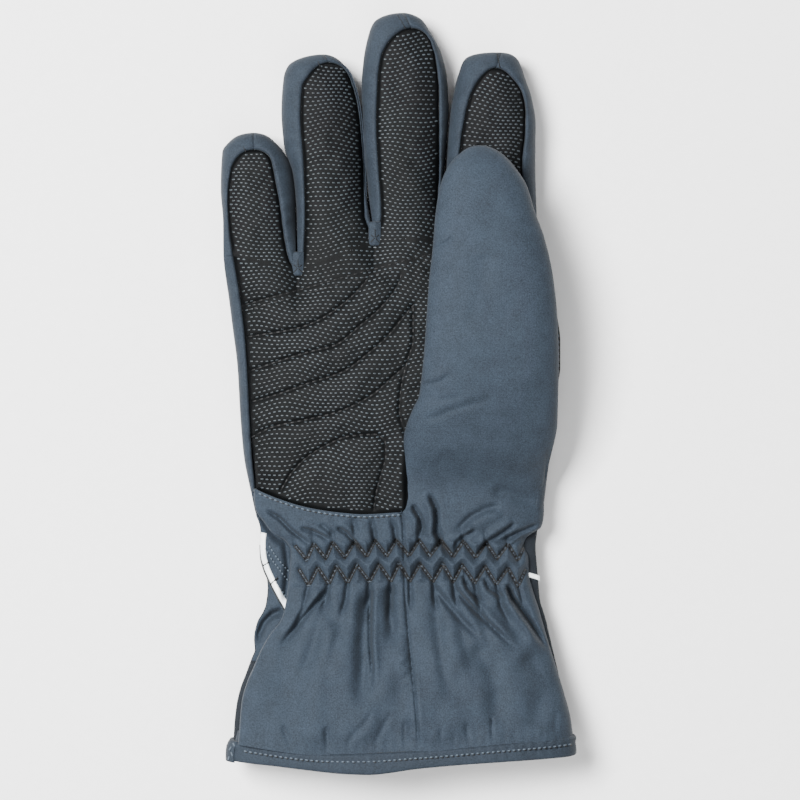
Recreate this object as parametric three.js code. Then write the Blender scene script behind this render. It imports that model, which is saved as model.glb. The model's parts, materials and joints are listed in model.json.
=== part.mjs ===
import * as THREE from "three";

// A right-hand insulated ski glove that lies on its back with the palm up. Millimetres.
// +X points to the thumb side, +Y to the fingertips and +Z out of the palm. The glove rests on z = 0.
//
// Every fabric layer is a sheet: a grid of cells on a surface, given a thickness between two depths
// under the outer face. All layers of one region share one grid, so they nest without touching.
// Each finger is cut at its middle joint by a cylinder about the joint's axis, so that it can curl.

const GAP = 0.3; // clearance between neighbouring sheets
const SQUARENESS = 2.6; // exponent of the superellipse that every section follows
const FLAT = 0.92; // share of the half thickness at which a section lies flat on the table
const JOINT_GAP = 0.5; // clearance between the two halves of a joint

// Depths of the layers under the outer face.
const SHELL = [0, 1.2];
const THREAD = [-1.0, -0.4];
const ELASTIC = [1.6, 2.8];
const INSULATION = [1.6, 4.4];
const LINING = [4.8, 5.6];
const CUFF_LINING = [3.2, 4.0];
const HEM = [-0.5, 4.0];

const degrees = THREE.MathUtils.degToRad;
const mix = THREE.MathUtils.lerp;
const smooth = THREE.MathUtils.smoothstep;

// The four fingers, little to index. web is the centre's X at Y = 50, joint the middle joint's axis
// point, and widths are half widths at the web, at the joint and near the tip.
const FINGERS = [
  { name: "little", web: -52.0, joint: [-52.9, 70.5], tip: [-54.0, 95.9], widths: [12.6, 13.0, 12.3] },
  { name: "ring", web: -24.4, joint: [-26.9, 91.0], tip: [-29.4, 125.0], widths: [13.3, 13.4, 13.3] },
  { name: "middle", web: 3.6, joint: [2.4, 100.0], tip: [1.6, 140.2], widths: [12.8, 14.6, 15.2] },
  { name: "index", web: 34.4, joint: [34.5, 95.5], tip: [34.5, 126.0], widths: [16.4, 15.6, 14.6] },
];
const FINGER_HALF_THICKNESS = { web: 12.8, joint: 11.6, tip: 10.6 };
const FINGER_BEND = 70; // degrees
const FINGER_JOINT_RADIUS = 0.15 + FINGER_HALF_THICKNESS.joint / Math.cos(degrees(FINGER_BEND / 2));
const CROTCH_Y = [44.5, 45.5, 54.8, 54.8, 54.8]; // left of the little finger, then each web, then the index
const TIP_START = 0.42; // share of a finger's last half at which its width begins to round off
const GRIP_ANGLE = 50; // where the grip panel meets the side walls, above the section's middle
const BACK_ANGLE = 35; // where the back panel meets the side walls, below the section's middle

// The hand, from the wrist to the webs: [Y, left edge, right edge, half thickness].
const HAND = [
  [-64, -51.0, 50.5, 12.0],
  [-50, -53.4, 53.6, 12.4],
  [-37, -55.8, 55.0, 13.2],
  [-14, -59.3, 57.4, 13.6],
  [10, -60.5, 58.0, 13.6],
  [34, -63.6, 56.0, 13.2],
  [58, -65.4, 51.4, 12.8],
];

// The wrist joint. Both rows of shirring lie on the cuff's side of it.
const WRIST = { y: -60.6, z: FLAT * 12, radius: 13.3 };
// The cuff, from the wrist to the hem: [Y, left edge, right edge, half thickness].
const CUFF = [
  [-50, -51.5, 50.5, 12.0],
  [-64, -51.0, 50.5, 12.0],
  [-76, -51.4, 52.6, 13.0],
  [-100, -56.2, 59.0, 16.0],
  [-122, -61.2, 63.6, 18.2],
  [-140.2, -64.6, 65.4, 18.8],
];
const CUFF_ROWS = [0, 0.1, 0.21, 0.245, 0.37, 0.54, 0.74, 0.92, 1];
const PIPING_ROW = 2;
const HEM_ROW = 7;
const CUFF_ANGLES = [0, 18, 36, 54, 70, 85, 100, 115, 130, 148, 165, 180, 200, 222, 246, 270, 294, 318, 340];

const THUMB = {
  joint: [32.4, -6, 40.4],
  length: 95.2,
  halfWidth: 25.4,
  halfThickness: 11.5,
  tipHalfThickness: 9.6,
  pitch: 3.6, // degrees that the thumb slopes down towards its tip
  bend: 60,
};
THUMB.radius = 0.15 + THUMB.halfThickness / Math.cos(degrees(THUMB.bend / 2));
const THUMB_MOUTH_Y = -14.8; // the near edge of the opening under the thumb's root

// Looks up the columns of a table at y, with straight lines between its rows.
function lookUp(table, y) {
  const direction = Math.sign(table[1][0] - table[0][0]);
  let k = 0;
  while (k < table.length - 2 && direction * (y - table[k + 1][0]) > 0) k += 1;
  const share = THREE.MathUtils.clamp((y - table[k][0]) / (table[k + 1][0] - table[k][0]), 0, 1);
  const [, left, right, half] = table[k].map((value, n) => mix(value, table[k + 1][n], share));
  return { centre: (left + right) / 2, halfWidth: (right - left) / 2, half };
}

const power = (value) => Math.sign(value) * Math.abs(value) ** (2 / SQUARENESS);

// A point of a section that lies on the table: x from its centre, z above the table.
function sectionPoint(angle, halfWidth, half, depth, lift = 0) {
  const z = (half - depth) * power(Math.sin(angle));
  return [(halfWidth - depth) * power(Math.cos(angle)), lift + Math.max(FLAT * half + z, depth)];
}

// Half the height of a superellipse section at a share of its half width.
const heightAt = (share) => (1 - Math.min(1, Math.abs(share)) ** SQUARENESS) ** (1 / SQUARENESS);

// The distance along Y from a joint's axis to its cylinder, at a height above the axis.
const reach = (radius, dz) => Math.sqrt(Math.max(0, radius * radius - dz * dz));

const glove = new THREE.Group();

const fabric = (color, roughness) => new THREE.MeshStandardMaterial({ color, roughness, metalness: 0 });
const MATERIALS = {
  shell: fabric(0x5a6979, 0.8),
  grip: fabric(0x2b2f33, 0.55),
  back: fabric(0x52606f, 0.8),
  insulation: fabric(0xe8e6df, 0.95),
  lining: fabric(0x3a3d42, 0.95),
  elastic: fabric(0xd8d8d4, 0.7),
  thread: fabric(0x9aa3ad, 0.7),
  piping: fabric(0xeef2f4, 0.4),
};

// Adds a closed solid made of the grid cells that `has` accepts, between two depths. Its free edges
// stand back by half a gap, so neighbouring sheets keep clear of each other.
function addSheet(name, material, { rows, columns, point, inset, loop = false }, depths, has = () => true) {
  const cellRows = rows.length - 1;
  const cellColumns = loop ? columns.length : columns.length - 1;
  const wrap = (j) => (loop ? (j + cellColumns) % cellColumns : j);
  const inside = (i, j) =>
    i >= 0 && i < cellRows && (loop || (j >= 0 && j < cellColumns)) && has(i, wrap(j)) ? 1 : 0;
  const positions = [];
  const known = new Map();
  const vertex = (i, j, side) => {
    const key = `${i},${wrap(j)},${side}`;
    if (!known.has(key)) {
      const [a, b, c, d] = [inside(i - 1, j - 1), inside(i - 1, j), inside(i, j - 1), inside(i, j)];
      const v = rows[i] + Math.sign(c + d - a - b) * inset.v;
      const u = columns[wrap(j)] + Math.sign(b + d - a - c) * inset.u;
      known.set(key, positions.length / 3);
      positions.push(...point(v, u, depths[side]));
    }
    return known.get(key);
  };
  const index = [];
  const quad = (a, b, c, d) => index.push(a, b, c, a, c, d);
  for (let i = 0; i < cellRows; i += 1) {
    for (let j = 0; j < cellColumns; j += 1) {
      if (!inside(i, j)) continue;
      const corners = [[i, j], [i, j + 1], [i + 1, j + 1], [i + 1, j]];
      quad(...corners.map(([r, c]) => vertex(r, c, 0)));
      quad(...[0, 3, 2, 1].map((k) => vertex(...corners[k], 1)));
      const beyond = [[i - 1, j], [i, j + 1], [i + 1, j], [i, j - 1]];
      beyond.forEach((cell, k) => {
        if (inside(...cell)) return;
        const [from, to] = [corners[k], corners[(k + 1) % 4]];
        quad(vertex(...to, 0), vertex(...from, 0), vertex(...from, 1), vertex(...to, 1));
      });
    }
  }
  const geometry = new THREE.BufferGeometry();
  geometry.setAttribute("position", new THREE.Float32BufferAttribute(positions, 3));
  geometry.setIndex(facingOut(positions, index));
  geometry.computeVertexNormals();
  const mesh = new THREE.Mesh(geometry, material);
  mesh.name = name;
  glove.add(mesh);
}

// Turns every triangle round if they enclose a negative volume.
function facingOut(positions, index) {
  const at = (n) => new THREE.Vector3().fromArray(positions, 3 * n);
  let volume = 0;
  for (let k = 0; k < index.length; k += 3) {
    volume += at(index[k]).dot(at(index[k + 1]).cross(at(index[k + 2])));
  }
  return volume > 0 ? index : index.reverse();
}

// The half width and centre of a finger between its web and its joint.
function fingerAt(finger, y) {
  const share = (y - 50) / (finger.joint[1] - 50);
  return {
    centre: mix(finger.web, finger.joint[0], share),
    halfWidth: mix(finger.widths[0], finger.widths[1], share),
    half: mix(FINGER_HALF_THICKNESS.web, FINGER_HALF_THICKNESS.joint, share),
  };
}

// ---- Fingertips: the half of each finger beyond its middle joint ----

const TIP_ROWS = [0, 0.2, TIP_START, 0.66, 0.82, 0.93, 0.985, 1];
const PALM_SIDE_ANGLES = [0, 25, GRIP_ANGLE, 70, 90, 110, 180 - GRIP_ANGLE, 155];
const BACK_SIDE_ANGLES = [180, 180 + BACK_ANGLE, 248, 270, 292, 360 - BACK_ANGLE];
const TIP_ANGLES = [...PALM_SIDE_ANGLES, ...BACK_SIDE_ANGLES];
const GRIP_CELLS = [2, 5]; // first and last cell across the palm side
const BACK_CELLS = [9, 12];
const SEAM_CELLS = [4, 11]; // the side walls meet each other before these cells
const GRIP_LAST_ROW = 4; // the grip panel stops here and the side walls meet over the tip
const BLUNT = 0.12; // share of the width that is left at the very tip

const within = (j, [first, last]) => j >= first && j <= last;

// Share of the full width at a share of the fingertip's length.
function roundedTip(v) {
  const share = Math.max(0, (v - TIP_START) / (1 - TIP_START));
  return Math.max(BLUNT, (1 - share ** 2.3) ** (1 / 2.1));
}

// The curled half of a finger: the joint's cylinder at v = 0 and the tip at v = 1. The width of inner
// layers is scaled down, so that they keep their order up to the point where the outline closes.
function fingertipPoint(finger, v, angle, depth) {
  const fullWidth = finger.widths[1];
  const outline = roundedTip(v);
  const halfWidth = mix(fullWidth, finger.widths[2], Math.min(1, 1.4 * v)) * outline;
  const whole = mix(FINGER_HALF_THICKNESS.joint, FINGER_HALF_THICKNESS.tip, v);
  const half = whole * (0.62 + 0.38 * outline);
  const lift = 0.6 * (whole - half);
  const [x] = sectionPoint(angle, halfWidth, half, 0);
  const [, z] = sectionPoint(angle, halfWidth, half, depth, lift);
  const dz = z - FLAT * FINGER_HALF_THICKNESS.joint;
  const start = finger.joint[1] - reach(FINGER_JOINT_RADIUS, dz);
  const centre = mix(finger.joint[0], finger.tip[0], v);
  return [centre + x * (1 - depth / fullWidth), mix(start, finger.tip[1] - depth, v), z];
}

function addFingertip(finger) {
  const surface = {
    rows: TIP_ROWS,
    columns: TIP_ANGLES.map(degrees),
    loop: true,
    inset: { v: GAP / 2 / (finger.tip[1] - finger.joint[1]), u: GAP / finger.widths[1] },
    point: (v, angle, depth) => fingertipPoint(finger, v, angle, depth),
  };
  const add = (part, material, depths, has) =>
    addSheet(`${finger.name}_tip_${part}`, material, surface, depths, has);
  const grip = (i, j) => i < GRIP_LAST_ROW && within(j, GRIP_CELLS);
  const back = (i, j) => i < TIP_ROWS.length - 2 && within(j, BACK_CELLS);
  const wall = (i, j) => !grip(i, j) && !back(i, j);
  const left = (j) => j >= SEAM_CELLS[0] && j < SEAM_CELLS[1];
  add("grip", MATERIALS.grip, SHELL, grip);
  add("back", MATERIALS.back, SHELL, back);
  add("wall_left", MATERIALS.shell, SHELL, (i, j) => wall(i, j) && left(j));
  add("wall_right", MATERIALS.shell, SHELL, (i, j) => wall(i, j) && !left(j));
  add("insulation", MATERIALS.insulation, INSULATION);
  add("lining", MATERIALS.lining, LINING);
}

FINGERS.forEach(addFingertip);

// ---- Hand: the palm and back sheets run from the wrist into the near half of all four fingers ----

const COLUMNS_PER_FINGER = 5;
const LAST_COLUMN = COLUMNS_PER_FINGER * FINGERS.length - 1;
const HAND_COLUMNS = Array.from({ length: LAST_COLUMN + 1 }, (_, n) => n);
const PALM_ROWS = [0, 0.13, 0.27, 0.42, 0.54, 0.68, 0.84, 1]; // wrist at 0, webs at 1
const HAND_ROWS = [...PALM_ROWS, 1.5, 2]; // middle joints at 2
const MOUTH_ROW = 3; // rows below this are open to the thumb
const MOUTH_COLUMN = 11; // columns from here on belong to the thumb's base

// Where a hand column lies: its finger, and its place across it from -1 to 1.
function columnPlace(u) {
  const k = THREE.MathUtils.clamp(Math.floor((u + 0.5) / COLUMNS_PER_FINGER), 0, FINGERS.length - 1);
  return { k, across: (u - COLUMNS_PER_FINGER * k - 2) / 2 };
}

// Straight-line interpolation of a value that is known at whole columns.
function alongColumns(u, valueAt) {
  const low = THREE.MathUtils.clamp(Math.floor(u), 0, LAST_COLUMN - 1);
  return mix(valueAt(low), valueAt(low + 1), u - low);
}

function crotchAt(column) {
  const { k, across } = columnPlace(column);
  return mix(CROTCH_Y[k], CROTCH_Y[k + 1], (across + 1) / 2);
}

// The two ends of the hand's sheets at a height: on the wrist's cylinder and on a finger joint's.
const wristEnd = (z) => WRIST.y + reach(WRIST.radius + JOINT_GAP, z - WRIST.z);
const jointEnd = (finger, z) =>
  finger.joint[1] - reach(FINGER_JOINT_RADIUS + JOINT_GAP, z - FLAT * FINGER_HALF_THICKNESS.joint);

// How far a layer stands back from the web, for each millimetre of its depth.
const webSetback = (column) => (Math.abs(columnPlace(column).across) === 1 ? 0.8 : 0);

// side is 1 for the palm sheet and -1 for the back sheet; edge is the share of a finger's half width
// that the sheet covers.
function handSurface(side, edge, crotchShift) {
  const webShare = (column) => {
    const { k, across } = columnPlace(column);
    const y = crotchAt(column) + crotchShift;
    const palm = lookUp(HAND, y);
    const { centre, halfWidth } = fingerAt(FINGERS[k], y);
    return (centre + across * edge * halfWidth - palm.centre) / palm.halfWidth;
  };
  const height = (half, depth, share) =>
    side > 0
      ? FLAT * half + (half - depth) * heightAt(share)
      : Math.max(FLAT * half - (half - depth) * heightAt(share), depth);
  return {
    rows: HAND_ROWS,
    columns: HAND_COLUMNS,
    inset: { v: 0.005, u: 0.04 },
    point(v, u, depth) {
      const webY = alongColumns(u, crotchAt) + crotchShift - depth * alongColumns(u, webSetback);
      const share = alongColumns(u, webShare);
      if (v <= 1) {
        const roughY = mix(WRIST.y + WRIST.radius, webY, v);
        const palm = lookUp(HAND, roughY);
        const palmZ = height(palm.half, depth, share);
        const fingerZ = alongColumns(u, (column) =>
          height(FINGER_HALF_THICKNESS.web, depth, columnPlace(column).across * edge));
        const z = mix(palmZ, fingerZ, smooth(v, 0.7, 1));
        return [palm.centre + share * (palm.halfWidth - depth), mix(wristEnd(z), webY, v), z];
      }
      const { k, across } = columnPlace(u);
      const finger = FINGERS[k];
      const { centre, halfWidth, half } = fingerAt(finger, mix(webY, finger.joint[1], v - 1));
      const z = height(half, depth, across * edge);
      return [centre + across * edge * (halfWidth - depth), mix(webY, jointEnd(finger, z), v - 1), z];
    },
  };
}

const TOP_EDGE = power(Math.cos(degrees(GRIP_ANGLE)));
const BOTTOM_EDGE = power(Math.cos(degrees(BACK_ANGLE)));
const palmSurface = handSurface(1, TOP_EDGE, 0);
const backSurface = handSurface(-1, BOTTOM_EDGE, 2.2);
const HEEL_ROW = 1; // rows below this are the grey heel of the palm
const lastOfFinger = (j) => j % COLUMNS_PER_FINGER === COLUMNS_PER_FINGER - 1;
const betweenFingers = (i, j) => i >= PALM_ROWS.length - 1 && lastOfFinger(j);
const besideThumb = (i, j) => i < MOUTH_ROW && j >= MOUTH_COLUMN;
const palmCells = (i, j) => !betweenFingers(i, j) && !besideThumb(i, j);

const palmAboveHeel = (i, j) => i >= HEEL_ROW && palmCells(i, j);
const backCells = (i, j) => !betweenFingers(i, j);
const backAboveHeel = (i, j) => i >= HEEL_ROW && backCells(i, j);

addSheet("palm_grip", MATERIALS.grip, palmSurface, SHELL, palmAboveHeel);
addSheet("palm_heel", MATERIALS.shell, palmSurface, SHELL, (i, j) => i < HEEL_ROW && palmCells(i, j));
addSheet("palm_insulation", MATERIALS.insulation, palmSurface, INSULATION, palmAboveHeel);
addSheet("palm_lining", MATERIALS.lining, palmSurface, LINING, palmCells);
addSheet("hand_back", MATERIALS.back, backSurface, SHELL, backCells);
addSheet("back_insulation", MATERIALS.insulation, backSurface, INSULATION, backAboveHeel);
addSheet("back_lining", MATERIALS.lining, backSurface, LINING, backCells);

// ---- Side walls: strips that join the palm sheet's free edges to the back sheet's ----

const WALL_WIDTH = 13; // half width of the section that the walls' roundness follows

// How far a wall stands out beyond the straight line from its top edge to its bottom edge.
function wallBulge(u, depth) {
  const height = mix(heightAt(TOP_EDGE), -heightAt(BOTTOM_EDGE), u);
  return (WALL_WIDTH - depth) * (heightAt(height) - mix(TOP_EDGE, BOTTOM_EDGE, u));
}

// place(v) gives the point of the palm and back sheets that the wall hangs on, the way it bulges, and
// the finger it belongs to.
function addWall(name, rows, place) {
  const point = (v, u, depth) => {
    const { at, column, out, finger } = place(v);
    const top = palmSurface.point(at, column, depth);
    const bottom = backSurface.point(at, column, depth);
    const [x, y, z] = top.map((value, n) => mix(value, bottom[n], u));
    const bulge = wallBulge(u, depth);
    const curved = (end) => end(z) - mix(end(top[2]), end(bottom[2]), u);
    const atWrist = Math.max(0, 1 - at) * curved(wristEnd);
    const atJoint = Math.max(0, at - 1) * curved((height) => jointEnd(finger, height));
    return [x + bulge * out[0], y + bulge * out[1] + atWrist + atJoint, z];
  };
  const surface = { rows, columns: [0, 0.25, 0.5, 0.75, 1], inset: { v: 0.01, u: 0.022 }, point };
  addSheet(name, MATERIALS.shell, surface, SHELL);
}

const outerEdge = (column, side, finger) => (v) => ({ at: v, column, out: [side, 0], finger });
addWall("little_side_wall", HAND_ROWS, outerEdge(0, -1, FINGERS[0]));
addWall("index_side_wall", HAND_ROWS, outerEdge(LAST_COLUMN, 1, FINGERS[3]));

// A fourchette runs down one finger's side, across the web and up the next finger's side.
function addFourchette(k) {
  const column = COLUMNS_PER_FINGER * (k + 1) - 1;
  const [left, right] = [FINGERS[k], FINGERS[k + 1]];
  addWall(`fourchette_${left.name}_${right.name}`, [0, 0.5, 1, 1.33, 1.67, 2, 2.5, 3], (v) => {
    if (v <= 1) return { at: 2 - v, column, out: [1, v], finger: left };
    if (v >= 2) return { at: v - 1, column: column + 1, out: [-1, 3 - v], finger: right };
    return { at: 1, column: column + v - 1, out: [3 - 2 * v, 1], finger: left };
  });
}

[0, 1, 2].forEach(addFourchette);

// ---- Thumb base: an arch over the heel of the hand that the thumb's root sits in ----

const BASE_ROWS = [0, 0.3, 0.65, 1];
const BASE_ANGLES = [0, 5, 13, 24, 38, 58, 82, 105, 125, 145, 158, 168, 175, 180].map(degrees);
const GUSSET_CELL = 8; // cells from here on, at the palm side of the arch, belong to the gusset

// The left and right edges of the opening in the palm sheet, as shares of the hand's half width.
const BASE_EDGES = [MOUTH_COLUMN, LAST_COLUMN].map((column) => {
  const web = lookUp(HAND, crotchAt(column));
  const { k, across } = columnPlace(column);
  const { centre, halfWidth } = fingerAt(FINGERS[k], crotchAt(column));
  return (centre + across * TOP_EDGE * halfWidth - web.centre) / web.halfWidth;
});

const baseSurface = {
  rows: BASE_ROWS,
  columns: BASE_ANGLES,
  inset: { v: 0.006, u: 0.012 },
  point(v, angle, depth) {
    const [, jointY, jointZ] = THUMB.joint;
    const palm = lookUp(HAND, mix(WRIST.y + WRIST.radius, THUMB_MOUTH_Y, v));
    const [left, right] = BASE_EDGES.map((share) => palm.centre + share * palm.halfWidth);
    const [leftZ, rightZ] = BASE_EDGES.map((share) => palm.half * (FLAT + heightAt(share)));
    const top = mix(palm.half * 1.95 + 1.5, jointZ + THUMB.halfThickness + 1, smooth(v, -0.1, 1.05));
    const along = (1 + power(Math.cos(angle))) / 2;
    const base = mix(leftZ, rightZ, along) - depth * 0.4;
    const z = base + Math.max(0, (top - depth - base) * power(Math.sin(angle)));
    const x = mix(left + 1 + depth, right - depth, along);
    const end = Math.min(jointY - reach(THUMB.radius + JOINT_GAP, z - jointZ), THUMB_MOUTH_Y);
    const start = WRIST.y + reach(WRIST.radius + JOINT_GAP, Math.min(z - WRIST.z, WRIST.radius));
    return [x, mix(start, end, v), z];
  },
};
addSheet("thumb_gusset", MATERIALS.grip, baseSurface, SHELL, (i, j) => j >= GUSSET_CELL);
addSheet("thumb_base", MATERIALS.shell, baseSurface, SHELL, (i, j) => j < GUSSET_CELL);
addSheet("thumb_base_insulation", MATERIALS.insulation, baseSurface, INSULATION, (i) => i > 0);
addSheet("thumb_base_lining", MATERIALS.lining, baseSurface, LINING);

// ---- Thumb: a tapered tube above the palm that lifts about an axis across its root ----

const THUMB_ROWS = [0, 0.2, 0.4, 0.58, 0.74, 0.86, 0.94, 0.985, 1];
const THUMB_GRIP_CELLS = [9, 12];

function thumbPoint(v, angle, depth) {
  const outline = Math.max(BLUNT, Math.sqrt(1 - v ** 2.4));
  const whole = mix(THUMB.halfThickness, THUMB.tipHalfThickness, v);
  const half = whole * (0.6 + 0.4 * Math.min(1, 1.35 * outline));
  const x = (THUMB.halfWidth - depth) * outline * power(Math.cos(angle));
  const z = (half - depth) * power(Math.sin(angle));
  const y = mix(-reach(THUMB.radius, z), THUMB.length - depth, v);
  const pitch = degrees(THUMB.pitch);
  const [jointX, jointY, jointZ] = THUMB.joint;
  return [
    jointX + x,
    jointY + y * Math.cos(pitch) + z * Math.sin(pitch),
    jointZ - y * Math.sin(pitch) + z * Math.cos(pitch),
  ];
}

const thumbSurface = {
  rows: THUMB_ROWS,
  columns: TIP_ANGLES.map(degrees),
  loop: true,
  inset: { v: GAP / 2 / THUMB.length, u: GAP / THUMB.halfWidth },
  point: thumbPoint,
};
const thumbGrip = (i, j) => j >= THUMB_GRIP_CELLS[0] && j <= THUMB_GRIP_CELLS[1] && i < THUMB_ROWS.length - 2;
addSheet("thumb_shell", MATERIALS.shell, thumbSurface, SHELL, (i, j) => !thumbGrip(i, j));
addSheet("thumb_grip", MATERIALS.grip, thumbSurface, SHELL, thumbGrip);
addSheet("thumb_insulation", MATERIALS.insulation, thumbSurface, INSULATION);
addSheet("thumb_lining", MATERIALS.lining, thumbSurface, LINING);

// ---- Cuff: a flared tube from the wrist joint to the hem ----

const HEM_Y = CUFF[CUFF.length - 1][0];
const cuffSurface = {
  rows: CUFF_ROWS,
  columns: CUFF_ANGLES.map(degrees),
  loop: true,
  inset: { v: GAP / 2 / 77, u: GAP / 2 / 55 },
  point(v, angle, depth) {
    const { centre, halfWidth, half } = lookUp(CUFF, mix(WRIST.y + WRIST.radius, HEM_Y, v));
    const [x, z] = sectionPoint(angle, halfWidth, half, depth, depth < 0 ? -depth : 0);
    const start = WRIST.y + reach(WRIST.radius, z - WRIST.z);
    return [centre + x, mix(start, HEM_Y, v), depth < 0 ? Math.max(z + depth, 0) : z];
  },
};
const FRONT_CELLS = { right: [2, 4], left: [5, 8] }; // the front seam lies between the two panels
const front = (j) => within(j, FRONT_CELLS.right) || within(j, FRONT_CELLS.left);

// Adds the part of the cuff between two rows, on the columns that `has` accepts.
function addCuff(name, material, depths, [first, last], has = () => true) {
  addSheet(name, material, cuffSurface, depths, (i, j) => within(i, [first, last]) && has(j));
}

const aboveHem = [0, HEM_ROW - 1];
addCuff("cuff_front_right", MATERIALS.shell, SHELL, aboveHem, (j) => within(j, FRONT_CELLS.right));
addCuff("cuff_front_left", MATERIALS.shell, SHELL, aboveHem, (j) => within(j, FRONT_CELLS.left));
addCuff("wrist_back_panel", MATERIALS.back, SHELL, [0, PIPING_ROW - 1], (j) => !front(j));
addCuff("reflective_piping", MATERIALS.piping, SHELL, [PIPING_ROW, PIPING_ROW], (j) => !front(j));
addCuff("cuff_back", MATERIALS.back, SHELL, [PIPING_ROW + 1, HEM_ROW - 1], (j) => !front(j));
addCuff("wrist_elastic_upper", MATERIALS.elastic, ELASTIC, [0, 0], front);
addCuff("wrist_elastic_lower", MATERIALS.elastic, ELASTIC, [1, 1], front);
addCuff("cuff_lining", MATERIALS.lining, CUFF_LINING, aboveHem);
addCuff("cuff_hem", MATERIALS.shell, HEM, [HEM_ROW, HEM_ROW]);

// ---- Zigzag threads that hold the elastics to the cuff's front ----

const ZIGZAG = { strokes: 22, halfHeight: 0.034, thickness: 0.015 };

function addZigzag(name, middleRow) {
  const [first, last] = [FRONT_CELLS.right[0], FRONT_CELLS.left[1] + 1].map((j) => cuffSurface.columns[j]);
  const step = (last - first) / (ZIGZAG.strokes + 1);
  const columns = Array.from({ length: 2 * ZIGZAG.strokes + 1 }, (_, n) => first + (n / 2 + 0.5) * step);
  const swing = (angle) => ZIGZAG.halfHeight * (1 - 2 * Math.abs((((angle - first) / step - 0.5) % 2) - 1));
  const point = (v, angle, depth) =>
    cuffSurface.point(middleRow + swing(angle) + (v - 0.5) * ZIGZAG.thickness, angle, depth);
  addSheet(name, MATERIALS.thread, { rows: [0, 1], columns, inset: { v: 0, u: 0 }, point }, THREAD);
}

addZigzag("zigzag_thread_upper", 0.044);
addZigzag("zigzag_thread_lower", 0.155);

export default glove;
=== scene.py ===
import json
import math

import bpy
import numpy as np
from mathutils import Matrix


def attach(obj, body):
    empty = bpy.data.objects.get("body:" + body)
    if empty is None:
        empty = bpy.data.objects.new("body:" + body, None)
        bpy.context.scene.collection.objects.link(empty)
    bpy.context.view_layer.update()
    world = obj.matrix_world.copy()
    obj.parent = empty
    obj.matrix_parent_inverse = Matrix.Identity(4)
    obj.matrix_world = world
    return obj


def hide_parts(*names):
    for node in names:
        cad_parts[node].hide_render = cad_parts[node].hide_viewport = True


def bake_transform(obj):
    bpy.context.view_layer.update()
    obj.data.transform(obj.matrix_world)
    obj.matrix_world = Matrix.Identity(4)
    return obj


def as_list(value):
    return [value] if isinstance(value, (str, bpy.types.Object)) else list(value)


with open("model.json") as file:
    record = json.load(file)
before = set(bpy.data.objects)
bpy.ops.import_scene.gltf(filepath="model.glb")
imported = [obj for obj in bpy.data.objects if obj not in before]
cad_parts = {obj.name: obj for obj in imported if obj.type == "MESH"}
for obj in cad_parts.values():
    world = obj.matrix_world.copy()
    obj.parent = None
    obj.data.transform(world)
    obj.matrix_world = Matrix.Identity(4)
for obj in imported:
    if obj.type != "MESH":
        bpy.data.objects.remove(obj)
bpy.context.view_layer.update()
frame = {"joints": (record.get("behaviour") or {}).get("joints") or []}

MM = 0.001
rng = np.random.default_rng(7)

# ---- Camera and light, in metres ----

CAMERA_PLACE = (0.00074, -0.00315, 1.2535)  # it looks straight down on the palm
CAMERA_LENS = 150
WORLD_STRENGTH = 0.31


def make_camera():
    data = bpy.data.cameras.new("camera")
    data.lens = CAMERA_LENS
    data.sensor_width = 36
    camera = bpy.data.objects.new("camera", data)
    bpy.context.scene.collection.objects.link(camera)
    camera.location = CAMERA_PLACE
    bpy.context.scene.camera = camera


def make_lights():
    for name, place, size, power in (
        ("key_light", (-0.54, 0.30, 1.22), 0.5, 72),
        ("fill_light", (0.20, -0.75, 1.35), 1.2, 17),
    ):
        data = bpy.data.lights.new(name, "AREA")
        data.size = size
        data.energy = power
        light = bpy.data.objects.new(name, data)
        light.location = place
        direction = np.array(place)
        light.rotation_euler = (
            math.atan2(math.hypot(direction[0], direction[1]), direction[2]),
            0,
            math.atan2(direction[1], direction[0]) + math.pi / 2,
        )
        bpy.context.scene.collection.objects.link(light)
    world = bpy.data.worlds.new("studio")
    world.use_nodes = True
    background = world.node_tree.nodes["Background"]
    background.inputs["Color"].default_value = (1, 1, 1, 1)
    background.inputs["Strength"].default_value = WORLD_STRENGTH
    bpy.context.scene.world = world


# ---- Small numeric tools. Everything is in millimetres until a mesh is made. ----


def smooth_through(points):
    """A smooth function through (argument, value) points that never overshoots them."""
    t, v = np.array(sorted(points), float).T
    slope = np.diff(v) / np.diff(t)
    m = np.zeros_like(v)
    m[0], m[-1] = slope[0], slope[-1]
    same = slope[:-1] * slope[1:] > 0
    total = np.where(same, slope[:-1] + slope[1:], 1)
    m[1:-1] = np.where(same, 2 * slope[:-1] * slope[1:] / total, 0)

    def value(x):
        x = np.clip(np.asarray(x, float), t[0], t[-1])
        k = np.clip(np.searchsorted(t, x) - 1, 0, len(t) - 2)
        h = t[k + 1] - t[k]
        s = (x - t[k]) / h
        ease = s * s * (3 - 2 * s)
        return (
            v[k] + (v[k + 1] - v[k]) * ease
            + h * (m[k] * s * (1 - s) ** 2 - m[k + 1] * s * s * (1 - s))
        )

    return value


def smoothstep(low, high, x):
    t = np.clip((np.asarray(x, float) - low) / (high - low), 0, 1)
    return t * t * (3 - 2 * t)


def mix(a, b, t):
    return a + (b - a) * t


def dome(share, n):
    """Height, from 1 to 0, of a superellipse at a share of its half width."""
    return (1 - np.clip(np.abs(share), 0, 1) ** n) ** (1 / n)


def bell(distance, width):
    return np.exp(-((distance / width) ** 2))


def between(x, low, high):
    """Place of x between two edges, from -1 at the low one to 1 at the high one."""
    return (x - (low + high) / 2) / ((high - low) / 2)


LATTICE = rng.random((64, 64))


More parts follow.
